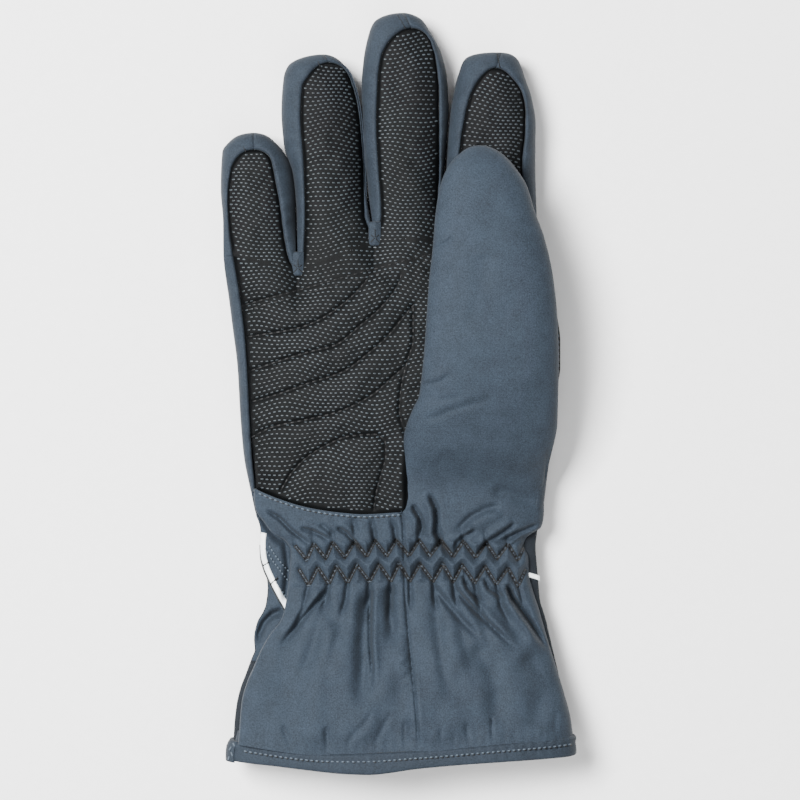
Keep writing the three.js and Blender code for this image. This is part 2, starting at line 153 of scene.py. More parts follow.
def ripple(x, y, size):
    """Smooth noise from -1 to 1 whose features are about that size."""
    u, v = np.asarray(x) / size + 200, np.asarray(y) / size + 200
    i, j = np.floor(u).astype(int), np.floor(v).astype(int)
    a, b = u - i, v - j
    a, b = a * a * (3 - 2 * a), b * b * (3 - 2 * b)
    at = lambda di, dj: LATTICE[(i + di) % 64, (j + dj) % 64]
    low = mix(at(0, 0), at(1, 0), a)
    high = mix(at(0, 1), at(1, 1), a)
    return 2 * mix(low, high, b) - 1


def path_distance(x, y, points):
    """Distance to a path in plan, positive on the left of its direction, and the share of its length
    at which the nearest point lies."""
    x, y = np.asarray(x, float), np.asarray(y, float)
    points = np.array(points, float)
    steps = np.hypot(*np.diff(points, axis=0).T)
    start = np.concatenate([[0], np.cumsum(steps)])
    best = np.full(x.shape, 1e9)
    along = np.zeros(x.shape)
    for k, ((ax, ay), (bx, by)) in enumerate(zip(points[:-1], points[1:])):
        t = np.clip(((x - ax) * (bx - ax) + (y - ay) * (by - ay)) / steps[k] ** 2, 0, 1)
        d = np.hypot(x - ax - t * (bx - ax), y - ay - t * (by - ay))
        left = (bx - ax) * (y - ay) - (by - ay) * (x - ax) > 0
        closer = d < np.abs(best)
        best = np.where(closer, np.where(left, d, -d), best)
        along = np.where(closer, (start[k] + t * steps[k]) / start[-1], along)
    return best, along


def rounded_path(points, step=1.0):
    """Evenly spaced points on a smooth curve through the given ones."""
    points = np.array(points, float)
    length = np.concatenate([[0], np.cumsum(np.hypot(*np.diff(points, axis=0).T))])
    fx = smooth_through(list(zip(length, points[:, 0])))
    fy = smooth_through(list(zip(length, points[:, 1])))
    s = np.linspace(0, length[-1], max(2, int(length[-1] / step) + 1))
    return np.column_stack([fx(s), fy(s)])


def folds(x, y, rows):
    """Height that folds add. Each row holds a path, the depth and width of its valley, and the side
    on which the cloth swells up beside it: 1 on the left of the path, -1 on the right, 0 on neither."""
    x, y = np.broadcast_arrays(np.asarray(x, float), np.asarray(y, float))
    z = np.zeros(x.shape)
    for points, depth, width, ridge in rows:
        low, high = np.min(points, axis=0) - 7 * width, np.max(points, axis=0) + 7 * width
        near = (x > low[0]) & (x < high[0]) & (y > low[1]) & (y < high[1])
        if not near.any():
            continue
        d, along = path_distance(x[near], y[near], points)
        fade = smoothstep(0, 0.15, along) * smoothstep(0, 0.35, 1 - along)
        swell = bell(d * ridge - 2.4 * width, 1.9 * width) if ridge else 0
        z[near] += fade * depth * (0.5 * swell - bell(d, width))
    return z


# ---- Meshes ----

CRISP_ANGLE = 62  # degrees between two faces above which a crisp piece's edge is hard


def new_object(name, vertices, faces, material):
    mesh = bpy.data.meshes.new(name)
    mesh.from_pydata((np.asarray(vertices) * MM).tolist(), [], faces)
    mesh.materials.append(material)
    mesh.polygons.foreach_set("use_smooth", [True] * len(mesh.polygons))
    mesh.update()
    obj = bpy.data.objects.new(name, mesh)
    bpy.context.scene.collection.objects.link(obj)
    return obj


def grid_faces(rows, columns, loop=False):
    i, j = np.meshgrid(np.arange(rows - 1), np.arange(columns if loop else columns - 1), indexing="ij")
    i, j = i.ravel(), j.ravel()
    k = (j + 1) % columns
    return np.column_stack([i * columns + j, i * columns + k, (i + 1) * columns + k, (i + 1) * columns + j])


def sheet_object(name, points, material, loop=False, flip=False, thickness=0.0, crisp=False):
    """An object from a grid of points, given a thickness on its inner side. A crisp one has hard rims."""
    rows, columns = points.shape[:2]
    faces = grid_faces(rows, columns, loop)
    if flip:
        faces = faces[:, ::-1]
    obj = new_object(name, points.reshape(-1, 3), faces.tolist(), material)
    if thickness:
        thicken(obj, thickness)
    if crisp:
        obj.data.set_sharp_from_angle(angle=math.radians(CRISP_ANGLE))
    return obj


def declare_cloth(points, loop=False, with_pieces=()):
    """Works out the steps along the rows and columns of a sheet's sewn shape, and keeps none of them."""
    grid = np.concatenate([points, points[:, :1]], axis=1) if loop else points
    along_rows, along_columns = np.diff(grid, axis=1), np.diff(grid, axis=0)
    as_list(with_pieces)


def finish(obj, body, slot, *nodes):
    """Attaches a piece to its body and hides the CAD nodes that it stands for. body is a body's name, or a
    function that is run on the piece instead. slot is not used."""
    if callable(body):
        body(obj)
    else:
        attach(obj, body)
    if nodes:
        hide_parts(*nodes)


def thicken(obj, thickness):
    modifier = obj.modifiers.new("thickness", "SOLIDIFY")
    modifier.thickness = thickness * MM
    modifier.offset = -1
    modifier.use_rim = True
    apply_modifiers(obj)


def apply_modifiers(obj):
    bpy.context.view_layer.update()
    graph = bpy.context.evaluated_depsgraph_get()
    mesh = bpy.data.meshes.new_from_object(obj.evaluated_get(graph))
    obj.modifiers.clear()
    old = obj.data
    obj.data = mesh
    bpy.data.meshes.remove(old)
    mesh.name = obj.name


# ---- Materials ----


def srgb(r, g, b):
    return tuple(((c / 255 + 0.055) / 1.055) ** 2.4 if c > 10 else c / 255 / 12.92 for c in (r, g, b))


class Nodes:
    """Shorthand for building one material's node tree."""

    def __init__(self, name):
        self.material = bpy.data.materials.new(name)
        self.material.use_nodes = True
        self.tree = self.material.node_tree
        self.shader = self.tree.nodes["Principled BSDF"]
        self.place = self.add("ShaderNodeTexCoord").outputs["Object"]

    def add(self, kind, inputs=(), **settings):
        node = self.tree.nodes.new(kind)
        for key, value in settings.items():
            setattr(node, key, value)
        for key, value in dict(inputs).items():
            if isinstance(value, bpy.types.NodeSocket):
                self.tree.links.new(value, node.inputs[key])
            else:
                node.inputs[key].default_value = value
        return node

    def noise(self, size, detail, roughness):
        """Noise whose features are about that many millimetres."""
        inputs = {"Vector": self.place, "Scale": 1 / (size * MM), "Detail": detail, "Roughness": roughness}
        return self.add("ShaderNodeTexNoise", inputs).outputs["Fac"]

    def weave(self, pitch):
        """A plain weave: threads along X and along Y, over and under each other."""
        waves = []
        for direction in ("X", "Y"):
            waves.append(self.add(
                "ShaderNodeTexWave",
                {"Vector": self.place, "Scale": 0.314 / (pitch * MM) / 2, "Distortion": 0.6, "Detail": 1},
                wave_type="BANDS", bands_direction=direction,
            ).outputs["Fac"])
        return self.math("MULTIPLY", *waves)

    def math(self, operation, a, b=0.0):
        return self.add("ShaderNodeMath", {0: a, 1: b}, operation=operation).outputs[0]

    def ramp(self, value, stops):
        node = self.add("ShaderNodeValToRGB", {"Fac": value})
        elements = node.color_ramp.elements
        while len(elements) < len(stops):
            elements.new(0.5)
        for element, (place, colour) in zip(elements, stops):
            element.position = place
            element.color = (*colour, 1)
        return node.outputs["Color"]

    def spread(self, value, low, high):
        return self.add("ShaderNodeMapRange", {"Value": value, "To Min": low, "To Max": high}).outputs[0]

    def blend(self, a, b, share_a, share_b):
        return self.math("ADD", self.math("MULTIPLY", a, share_a), self.math("MULTIPLY", b, share_b))

    def colour(self, socket):
        self.tree.links.new(socket, self.shader.inputs["Base Color"])

    def dye(self, value, colour, spread, low=0.3, high=0.7):
        """Colours the shader in darker to lighter shades of one colour."""
        shades = [tuple(max(0.0, c * (1 + s)) for c in colour) for s in (-spread, 0, spread)]
        self.colour(self.ramp(value, list(zip((low, 0.5, high), shades))))

    def rough(self, socket):
        self.tree.links.new(socket, self.shader.inputs["Roughness"])

    def bump(self, height, strength, distance, normal=None):
        inputs = {"Height": height, "Strength": strength, "Distance": distance * MM}
        if normal is not None:
            inputs["Normal"] = normal
        out = self.add("ShaderNodeBump", inputs).outputs["Normal"]
        self.tree.links.new(out, self.shader.inputs["Normal"])
        return out

    def set(self, **values):
        for key, value in values.items():
            self.shader.inputs[key.replace("_", " ")].default_value = value


def woven(name, colour):
    """Matt woven nylon with a fine weave and uneven, slightly mottled dye."""
    n = Nodes(name)
    mottled = n.noise(6, 4, 0.6)
    n.dye(n.blend(mottled, n.noise(0.5, 2, 0.6), 0.3, 0.7), colour, 0.42, 0.32, 0.68)
    n.rough(n.spread(mottled, 0.73, 0.85))
    normal = n.bump(n.noise(2.2, 3, 0.55), 0.16, 0.35)
    n.bump(n.weave(0.42), 0.35, 0.06, normal)
    n.set(Sheen_Weight=0.03, Sheen_Roughness=0.45, Specular_IOR_Level=0.16)
    return n.material


def embossed(name, colour):
    """Black synthetic grip fabric with a fine pebbled grain between its raised dashes."""
    n = Nodes(name)
    pebbles = n.noise(0.45, 2, 0.7)
    n.dye(n.blend(pebbles, n.noise(9, 3, 0.5), 0.6, 0.4), colour, 0.25, 0.3, 0.72)
    n.rough(n.spread(pebbles, 0.6, 0.8))
    n.bump(pebbles, 0.5, 0.12)
    n.set(Specular_IOR_Level=0.12)
    return n.material


def dash_highlight_material(name, colour):
    """The grip's raised dashes: smoother than the fabric and each a little different; their lighter colour
    is a painted highlight, the glint that the raised dashes catch.
    """
    n = Nodes(name)
    each = n.noise(2.6, 2, 0.7)
    n.dye(n.blend(each, n.noise(14, 2, 0.5), 0.45, 0.55), colour, 0.75)
    n.rough(n.spread(each, 0.4, 0.6))
    n.bump(n.noise(0.35, 2, 0.6), 0.2, 0.05)
    n.set(Specular_IOR_Level=0.35)
    return n.material


def thread(name, colour):
    n = Nodes(name)
    n.dye(n.noise(0.8, 2, 0.6), colour, 0.3)
    n.bump(n.noise(0.2, 1, 0.5), 0.4, 0.05)
    n.set(Roughness=0.6, Sheen_Weight=0.05, Specular_IOR_Level=0.25)
    return n.material


def fleece(name, colour):
    n = Nodes(name)
    fluff = n.noise(0.7, 4, 0.7)
    n.dye(fluff, colour, 0.3)
    n.bump(fluff, 0.6, 0.4)
    n.set(Roughness=0.95, Sheen_Weight=0.5, Sheen_Roughness=0.6)
    return n.material


def reflective(name, colour):
    n = Nodes(name)
    n.dye(n.noise(0.6, 2, 0.6), colour, 0.06)
    n.bump(n.weave(0.3), 0.2, 0.04)
    n.set(Roughness=0.35, Specular_IOR_Level=0.6)
    return n.material


def floor_material():
    n = Nodes("floor_paper")
    n.colour(n.ramp(n.noise(4, 2, 0.5), [(0.3, (0.93, 0.93, 0.93)), (0.7, (0.95, 0.95, 0.95))]))
    n.set(Roughness=0.9, Specular_IOR_Level=0.1)
    return n.material


SHELL = woven("slate_nylon", srgb(34, 42, 51))
# A slightly darker copy of the slate nylon: painted shade for the finger borders, side strips, webs and
# hem, which turn away from the light.
SHADED_SLATE = woven("slate_nylon_shaded_copy", srgb(32, 39, 47))
DARK = woven("charcoal_nylon", srgb(22, 26, 31))
GRIP = embossed("grip_fabric", srgb(2, 3, 4))
# The dashes' lighter colour is painted highlight on the black grip.
DASH = dash_highlight_material("grip_dashes_painted_highlight", srgb(37, 43, 47))
STITCH = thread("grey_thread", srgb(64, 74, 84))
ZIGZAG_STITCH = thread("slate_thread", srgb(44, 52, 61))
# Dark thread for the quilting, fingertip seams and web stars; the same dark pads also paint the shade in
# the zigzags' grooves and beside the topstitches.
DARK_THREAD_AND_SHADE = thread("dark_thread_and_shade", srgb(3, 4, 6))
WHITE = reflective("white_piping", srgb(240, 246, 248))
BLACK = thread("black_binding", srgb(18, 20, 22))
LINING = fleece("brushed_lining", srgb(52, 55, 60))

# ---- The hand's outlines in plan ----


def side(apex, points):
    """One side of an outline below its apex, as x at any y. It is round at the apex."""
    f = smooth_through([(0, apex[0])] + [(math.sqrt(apex[1] - y), x) for x, y in points])
    return lambda y: f(np.sqrt(np.maximum(apex[1] - np.asarray(y, float), 0)))


class Outline:
    def __init__(self, apex, left, right):
        self.apex = np.array(apex, float)
        self.left = side(apex, left)
        self.right = side(apex, right)

    def across(self, x, y):
        """Place across the outline at (x, y), from -1 on the left side to 1 on the right."""
        low, high = self.left(y), self.right(y)
        return (x - (low + high) / 2) / np.maximum((high - low) / 2, 1e-3)


# The webs between the fingers, with the outer ends of the fingers' bases: one more than the fingers.
WEBS = [(-60.8, 50.0), (-37.0, 43.8), (-8.5, 54.9), (17.0, 56.0), (49.0, 52.0)]
FINGERS = ["little", "ring", "middle", "index"]
OUTER = {
    "little": Outline(
        (-53.6, 96.4),
        [(-59.5, 95.4), (-62.9, 93.0), (-65.5, 89.2), (-66.1, 75.3), (-64.9, 62.3), (-64.7, 50.0)],
        [(-48.6, 95.2), (-45.9, 93.0), (-42.6, 89.2), (-39.4, 82.5), (-38.2, 73.0), (-37.9, 56.0),
         WEBS[1]],
    ),
    "ring": Outline(
        (-27.5, 125.6),
        [(-38.0, 123.5), (-41.1, 121.2), (-42.7, 116.7), (-43.5, 104.0), (-42.6, 92.0), (-39.2, 80.0),
         (-37.6, 62.0), WEBS[1]],
        [(-21.8, 123.4), (-17.6, 118.0), (-14.8, 110.4), (-13.4, 102.0), (-12.6, 85.0), (-11.6, 72.0),
         WEBS[2]],
    ),
    "middle": Outline(
        (2.2, 141.0),
        [(-5.0, 140.0), (-9.0, 137.6), (-11.4, 131.5), (-13.0, 122.7), (-13.7, 112.0), (-12.9, 94.0),
         (-11.2, 75.3), WEBS[2]],
        [(5.6, 140.4), (9.0, 138.5), (11.9, 134.1), (16.3, 125.6), (18.2, 117.0), (18.9, 105.3),
         (18.2, 93.0), (16.9, 75.3), WEBS[3]],
    ),
    "index": Outline(
        (38.5, 126.3),
        [(30.5, 126.0), (24.8, 123.8), (22.6, 118.6), (20.4, 109.7), (19.3, 102.7), (18.4, 92.0),
         WEBS[3]],
        [(42.2, 125.6), (44.6, 123.8), (47.5, 116.4), (49.8, 109.3), (51.3, 100.1), (51.2, 85.3),
         (51.4, 72.3), (51.6, 52.0)],
    ),
}
PANEL = {
    "little": Outline(
        (-53.3, 89.4),
        [(-59.2, 86.8), (-61.8, 82.0), (-63.0, 70.9), (-62.3, 60.1), WEBS[0]],
        [(-47.4, 86.4), (-45.5, 78.3), (-43.7, 68.6), (-42.2, 57.2), (-40.3, 48.5), WEBS[1]],
    ),
    "ring": Outline(
        (-25.6, 121.9),
        [(-32.6, 117.3), (-35.2, 112.7), (-35.9, 101.9), (-34.8, 85.3), (-34.3, 65.7), (-34.8, 50.0),
         WEBS[1]],
        [(-19.2, 119.0), (-16.7, 113.0), (-14.9, 105.3), (-13.8, 95.3), (-12.9, 82.0), (-12.5, 66.0),
         WEBS[2]],
    ),
    "middle": Outline(
        (5.0, 134.6),
        [(0.4, 132.8), (-4.1, 128.2), (-6.3, 123.0), (-7.4, 113.0), (-7.8, 98.6), (-7.0, 82.0),
         (-5.9, 65.7), WEBS[2]],
        [(9.3, 133.4), (12.6, 129.0), (14.4, 119.7), (15.2, 110.5), (15.2, 82.0), (14.6, 68.0), WEBS[3]],
    ),
    "index": Outline(
        (36.3, 119.7),
        [(30.3, 115.6), (27.0, 109.7), (25.2, 102.7), (23.7, 94.5), (22.6, 85.0), (20.6, 68.0), WEBS[3]],
        [(42.2, 116.2), (46.1, 110.4), (47.3, 103.8), (47.0, 94.5), (46.0, 85.0), (46.0, 68.0), WEBS[4]],
    ),
}
# How far below its tip each finger reaches its full height.
TIP_ROUND = {"little": 15.0, "ring": 16.0, "middle": 18.0, "index": 17.0}

# The outer edges of the hand and cuff: x against y.
LEFT_EDGE = smooth_through([
    (-140, -62.9), (-131, -62.2), (-128, -61.0), (-123, -60.7), (-116, -59.9), (-110, -58.5),
    (-105, -56.6), (-99, -54.4), (-96, -53.3), (-92, -53.6), (-86, -52.5), (-82, -50.3), (-79, -49.2),
    (-73, -48.6), (-69, -49.0), (-64, -50.4), (-59, -51.6), (-54, -51.2), (-51, -51.4), (-45, -53.2),
    (-37, -54.9), (-25, -57.3), (-13, -58.5), (10, -59.9), (22, -61.4), (34, -62.9), (50, -64.7),
    (62, -65.0),
])
RIGHT_EDGE = smooth_through([
    (-140, 65.8), (-132, 65.2), (-126, 64.7), (-118, 63.4), (-110, 60.9), (-102, 59.0), (-96, 57.6),
    (-90, 56.2), (-84, 54.8), (-77, 52.8), (-70, 52.2), (-64, 51.7), (-58, 51.3), (-54, 51.6),
    (-45, 53.8), (-30, 55.8), (-12, 58.0), (0, 59.2), (18, 59.2), (35, 56.5), (50, 52.6), (72, 51.4),
])
# The edges of the shirred front panel, which covers the edges of the cuff's back: x against y.
FRONT_LEFT = smooth_through([
    (-140, -60.0), (-128, -58.6), (-114, -57.4), (-107, -55.5), (-102, -53.3), (-96, -50.7), (-90, -47.4),
    (-84, -42.9), (-77, -41.2), (-66, -40.0), (-59, -39.6), (-55, -42.0), (-53, -45.9), (-49, -49.2),
    (-43, -52.9), (-36, -53.4),
])
FRONT_RIGHT = smooth_through([
    (-140, 65.5), (-128, 64.8), (-121, 64.0), (-114, 62.2), (-107, 60.2), (-98, 57.4), (-92, 55.6),
    (-81, 52.5), (-73, 50.0), (-68, 48.8), (-62, 48.6), (-57, 47.0), (-54.8, 47.6), (-52.6, 50.2),
    (-50.6, 53.2), (-47.5, 54.2), (-44.6, 54.4),
])


def across_hand(x, y):
    """Place across the hand or cuff, from -1 at its left edge to 1 at its right edge."""
    return between(x, LEFT_EDGE(y), RIGHT_EDGE(y))


def across_panel(x, y):
    """Place across the front panel, from -1 at its left edge to 1 at its right edge."""
    return between(x, FRONT_LEFT(y), FRONT_RIGHT(y))


# The palm's grip panel: its left and right edges, x against y, and its lower edge, y against x.
GRIP_LEFT = smooth_through([
    (-36.1, -53.0), (-20, -54.4), (3, -55.5), (20, -56.6), (30, -57.7), (43, -59.6), (50, -60.8),
])
GRIP_RIGHT = smooth_through([(-46, 50.0), (-20, 52.5), (10, 55.5), (30, 54.0), (52, 49.0)])
HEEL_SEAM = smooth_through([
    (-53.0, -36.1), (-44.8, -39.4), (-34.0, -42.7), (-23.3, -44.5), (-12.8, -45.3), (1.5, -44.6),
    (50.0, -44.0),
])
WEB_LINE = lambda x: np.interp(x, *np.array(WEBS).T)

# ---- Heights of the palm side ----

WAIST_Z = 10.6  # height at which the hand and fingers are widest
SEAM_Y = -44.6  # the seam between the thumb's base and the front panel
BACK_INSET = 4.5  # from the hand's outline in to the seam with its back


def finger_profile(name, x, y):
    """Height of a finger's palm side."""
    apex = OUTER[name].apex[1]
    near_web = smoothstep(24, 0, y - WEB_LINE(x))
    inner = 1 - 0.2 * near_web
    top = mix(12.6, 10.6, smoothstep(45, 110, y))
    rise = dome(1 - np.clip((apex - y) / TIP_ROUND[name], 0, 1), 2.3)
    return WAIST_Z + top * (0.12 + 0.88 * rise) * dome(OUTER[name].across(x, y) * inner, 2.4)


# Half thickness and middle height of the hand.
HAND_HALF = smooth_through([
    (-140, 17.8), (-122, 17.2), (-100, 15.8), (-76, 13.2), (-64, 12.0), (-50, 12.6), (-30, 14.6),
    (10, 15.4), (40, 14.2), (60, 13.0),
])
HAND_MIDDLE = smooth_through([
    (-140, 17.8), (-122, 17.0), (-100, 14.8), (-76, 12.0), (-60, 11.2), (-30, WAIST_Z),
])


def hand_profile(x, y):
    return HAND_MIDDLE(y) + HAND_HALF(y) * dome(across_hand(x, y), 2.5)


QUILT_LINES = [rounded_path(points) for points in (
    [(-57, 32), (-36.3, 37.6), (-9.6, 45), (10, 50.1), (30, 54)],
    [(-55.9, 20.2), (-38.1, 23.1), (-28.9, 26.5), (-17, 35), (-10.4, 42.4)],
    [(-54.8, 7.6), (-46.3, 10.5), (-32.9, 14.6), (-22.9, 17.2), (-14.4, 23.9), (-6.3, 30.9), (0.4, 40.1),
     (1.5, 44.2)],
    [(-54.4, -3.9), (-44, -0.9), (-32.9, 3.1), (-20.4, 7.2), (-11.1, 13.9), (-3.7, 20.5), (1.5, 26.8),
     (5.6, 31.6)],
    [(-54.8, -17.2), (-46.3, -13.1), (-32.9, -10.2), (-21.1, -7.2), (-9.6, -1.3), (-2.6, 4.6),
     (3.3, 9.8)],
    [(-43.3, -36.4), (-39.6, -30.5), (-34, -24.6), (-26.3, -19.8), (-18.1, -16.5), (-8.3, -15.8),
     (-4.6, -19), (-4.4, -23.1), (-5.9, -29.8), (-7.8, -36.4), (-8.9, -43.1)],
)]
SECOND_ROW = QUILT_LINES[0] + np.array([0.6, -2.0])
GUSSET_SEAM = rounded_path([
    (5.6, 31.6), (5.6, 18.3), (4.1, 13.1), (1.5, 3.1), (0.6, -6.8), (2.2, -13.9), (3.6, -18.0),
    (3.0, -44.0),
])


def quilting(x, y):
    """The pressed-in stitch lines of the palm, with the padding puffed up between them."""
    depth = np.zeros(np.shape(x))
    puff = np.full(np.shape(x), 99.0)
    for line in QUILT_LINES:
        d = np.abs(path_distance(x, y, line)[0])
        depth = np.maximum(depth, bell(d, 0.75))
        puff = np.minimum(puff, d)
    for line, deep, width in ((SECOND_ROW, 0.6, 0.7), (GUSSET_SEAM, 1.2, 0.8)):
        d, _ = path_distance(x, y, line)
        depth = np.maximum(depth, deep * bell(d, width))
    quilted = smoothstep(48, 38, y)
    return quilted * (0.9 * np.clip(puff / 7, 0, 1) ** 0.6 - 0.75 * depth)


def front(x, y, name=None):
    """Height of the hand's palm side, which turns into the fingers above the webs."""
    x, y = np.broadcast_arrays(np.asarray(x, float), np.asarray(y, float))
    to_fingers = smoothstep(-20, 4, y - WEB_LINE(x))
    if name:
        finger = finger_profile(name, x, y)
    else:
        finger = np.max([finger_profile(n, x, y) for n in FINGERS], axis=0)
    body = hand_profile(x, y) + quilting(x, y)
    return mix(body, finger, to_fingers) + 0.35 * ripple(x, y, 7) + 0.18 * ripple(x, y, 3)


# ---- Palm grip panel ----


def palm_right(y):
    """The palm panel's right edge, which ends under the thumb's base at the heel."""
    return mix(THUMB.left(y) + 13, GRIP_RIGHT(y), smoothstep(-34, -14, y))


def palm_points():
    u = np.linspace(0, 1, 170)[None, :]
    v = np.linspace(0, 1, 190)[:, None]
    guess = mix(-42.0, 50.0, v)
    x = mix(GRIP_LEFT(guess), palm_right(guess), u)
    y = mix(HEEL_SEAM(x), WEB_LINE(x), v)
    return x, y


def make_palm():
    x, y = palm_points()
    edge = np.minimum(x - GRIP_LEFT(np.clip(y, -36, 50)), 0.9 * (y - HEEL_SEAM(x)) + 0.2)
    z = front(x, y) - 1.1 * bell(np.maximum(edge, 0), 0.9)
    z -= 6 * smoothstep(1, 7, x - THUMB.left(y)) * smoothstep(-10, -30, y)
    palm = sheet_object("palm_grip_panel", np.dstack([x, y, z]), GRIP, thickness=1.0, crisp=True)
    finish(palm, "hand", "grip", "palm_grip", "thumb_gusset")


# ---- Fingers ----

FINGER_ROWS = 96  # of points from a finger's tip to its base


def joint_of(body):
    return next(j for j in frame["joints"] if j["child"] == body)


def bends_at(name):
    """What finish() runs on a finger's piece: it bakes the piece's transform and bends nothing."""
    centre = np.array(joint_of(f"{name}_tip")["pos_m"])
    return lambda obj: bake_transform(obj)


def down(rows, near_tip=0.16):
    """Rows from an outline's apex at 0 to its base at 1, closer together near the apex."""
    t = np.linspace(0, 1, rows)
    return t * t / (near_tip + (1 - near_tip) * t)


def outline_rows(outline, side_name, base_y):
    """Points along one side of an outline, from its apex to its base."""
    y = outline.apex[1] - (outline.apex[1] - base_y) * down(FINGER_ROWS)
    return getattr(outline, side_name)(y), y


def base_y(name, side_name):
    k = FINGERS.index(name)
    return WEBS[k if side_name == "left" else k + 1][1]


def make_finger_grip(name):
    lx, ly = outline_rows(PANEL[name], "left", base_y(name, "left"))
    rx, ry = outline_rows(PANEL[name], "right", base_y(name, "right"))
    u = (1 - np.cos(np.linspace(0, np.pi, 44))) / 2
    x = mix(lx[:, None], rx[:, None], u)
    y = mix(ly[:, None], ry[:, None], u)
    inside = np.minimum(u, 1 - u) * np.abs(rx - lx)[:, None]
    inside = np.minimum(inside, 0.9 * (PANEL[name].apex[1] - y) + 0.05)
    near_web = smoothstep(0, 4, y - WEB_LINE(x))
    z = front(x, y, name) - 0.2 - 0.9 * bell(inside, 0.6) * near_web
    z = np.where(near_web > 0, mix(front(x, y), z, near_web), front(x, y))
    obj = sheet_object(f"{name}_grip_panel", np.dstack([x, y, z])[::-1], GRIP, thickness=1.0, crisp=True)
    declare_cloth(np.dstack([x, y, z]))
    finish(obj, bends_at(name), "grip", f"{name}_tip_grip")


def border_points(inner, outer, height, back_inset, wrinkles):
    """A puffed strip from a panel's edge (inner) over the outline (outer) to the back seam."""
    (ix, iy), (ox, oy) = inner, outer
    w = np.linspace(0, 1, 20)[None, :]
    s = np.sin(w * np.pi / 2) * 1.02 - 0.02
    x = mix(ix[:, None], ox[:, None], np.minimum(s, 1))
    y = mix(iy[:, None], oy[:, None], np.minimum(s, 1))
    width = np.hypot(ox - ix, oy - iy)[:, None]
    distance = np.maximum(width * s, 0)
    roll = 0.75 * (1 - np.exp(-distance / 0.7)) - 1.5 * np.exp(-distance / 0.45)
    fade = np.clip(width / 1.5, 0, 1) * (1 - w ** 3)
    z = height(x, y) + roll * fade + wrinkles(x, y) * (1 - w)
    z[:, -1] = np.minimum(z[:, -1], WAIST_Z)
    front_part = np.dstack([x, y, z])
    v = np.linspace(0, 1, 9)[1:]
    bx, by, bz = back_inset
    turn = 1 - np.cos(v * np.pi / 2)
    edge = front_part[:, -1, :]
    back_x = mix(edge[:, 0:1], bx[:, None], turn)
    back_y = mix(edge[:, 1:2], by[:, None], turn)
    back_z = mix(edge[:, 2:3], bz[:, None], np.sin(v * np.pi / 2) ** 0.8)
    return np.concatenate([front_part, np.dstack([back_x, back_y, back_z])], axis=1)


def back_seam(name, side_name):
    """The seam between a border strip and the finger's back panel."""
    outer = OUTER[name]
    ox, oy = outline_rows(outer, side_name, base_y(name, side_name))
    centre = (outer.left(oy) + outer.right(oy)) / 2
    x = mix(ox, centre, 0.18)
    y = oy - 3.2 * (1 - (outer.apex[1] - oy) / (outer.apex[1] - base_y(name, side_name))) ** 6
    return x, y, finger_back(name, x, y)


def finger_back(name, x, y):
    outer = OUTER[name]
    rise = dome(1 - np.clip((outer.apex[1] - y) / 13.0, 0, 1), 2.3)
    return WAIST_Z - (WAIST_Z - 0.3) * (0.1 + 0.9 * rise) * dome(outer.across(x, y), 3.2)


def make_finger_borders(name):
    for side_name in ("left", "right"):
        inner, outer = (outline_rows(outlines[name], side_name, base_y(name, side_name))
                        for outlines in (PANEL, OUTER))
        t = np.linspace(0, 1, FINGER_ROWS)

        def wrinkles(x, y):
            seam = bell(t, 0.02)[:, None]
            wrinkle = 0.28 * ripple(x, y * 0.6, 4.5) + 0.2 * np.sin(y * 1.1 + 3 * ripple(x, y, 9))
            return wrinkle * smoothstep(0.03, 0.15, t)[:, None] - 0.6 * seam

        points = border_points(
            inner, outer, lambda x, y: front(x, y, name), back_seam(name, side_name), wrinkles)
        obj = sheet_object(
            f"{name}_border_{side_name}", points, SHADED_SLATE, flip=side_name == "right", thickness=1.0)
        declare_cloth(points)
        finish(obj, bends_at(name), "shell", f"{name}_tip_wall_{side_name}")


def make_finger_back(name):
    lx, ly, _ = back_seam(name, "left")
    rx, ry, _ = back_seam(name, "right")
    u = np.linspace(0, 1, 30)
    x = mix(lx[:, None], rx[:, None], u)
    y = mix(ly[:, None], ry[:, None], u)
    points = np.dstack([x, y, finger_back(name, x, y)])
    obj = sheet_object(f"{name}_back_panel", points, SHELL, thickness=1.0)
    declare_cloth(points)
    finish(obj, bends_at(name), "back", f"{name}_tip_back", f"{name}_tip_insulation", f"{name}_tip_lining")


# ---- Raised dashes and stitches ----


def pads(x, y, angle, half_length, half_width, height, rise, sink=0.15):
    """Low rounded pads on a surface, as (vertices, faces). height(x, y) is the surface."""
    outline = np.array([(-1, 0), (-0.72, -1), (0.72, -1), (1, 0), (0.72, 1), (-0.72, 1)])
    rings = []
    for scale, lift in ((1.0, -sink), (0.94, 0.6 * rise), (0.6, rise)):
        a = outline[:, 0] * half_length * (1 - (1 - scale) * 0.6)
        b = outline[:, 1] * half_width * scale
        px = x[:, None] + a * np.cos(angle)[:, None] - b * np.sin(angle)[:, None]
        py = y[:, None] + a * np.sin(angle)[:, None] + b * np.cos(angle)[:, None]
        rings.append(np.dstack([px, py, height(px, py) + lift]))
    vertices = np.concatenate(rings, axis=1).reshape(-1, 3)
    corner = np.arange(6)
    quads = []
    for ring in (0, 1):
        a, b = ring * 6 + corner, ring * 6 + (corner + 1) % 6
        quads.append(np.column_stack([a, b, b + 6, a + 6]))
    quads = np.concatenate(quads)
    top = 12 + corner
    faces = []
    for k in range(len(x)):
        faces += (quads + 18 * k).tolist()
        faces.append((top + 18 * k).tolist())
    return vertices, faces


DASH_PITCH = (1.9, 1.5)  # from dash to dash in a row, and from row to row
DASH_SIZE = (0.62, 0.29)  # half length and half width
DASH_RISE = 0.22


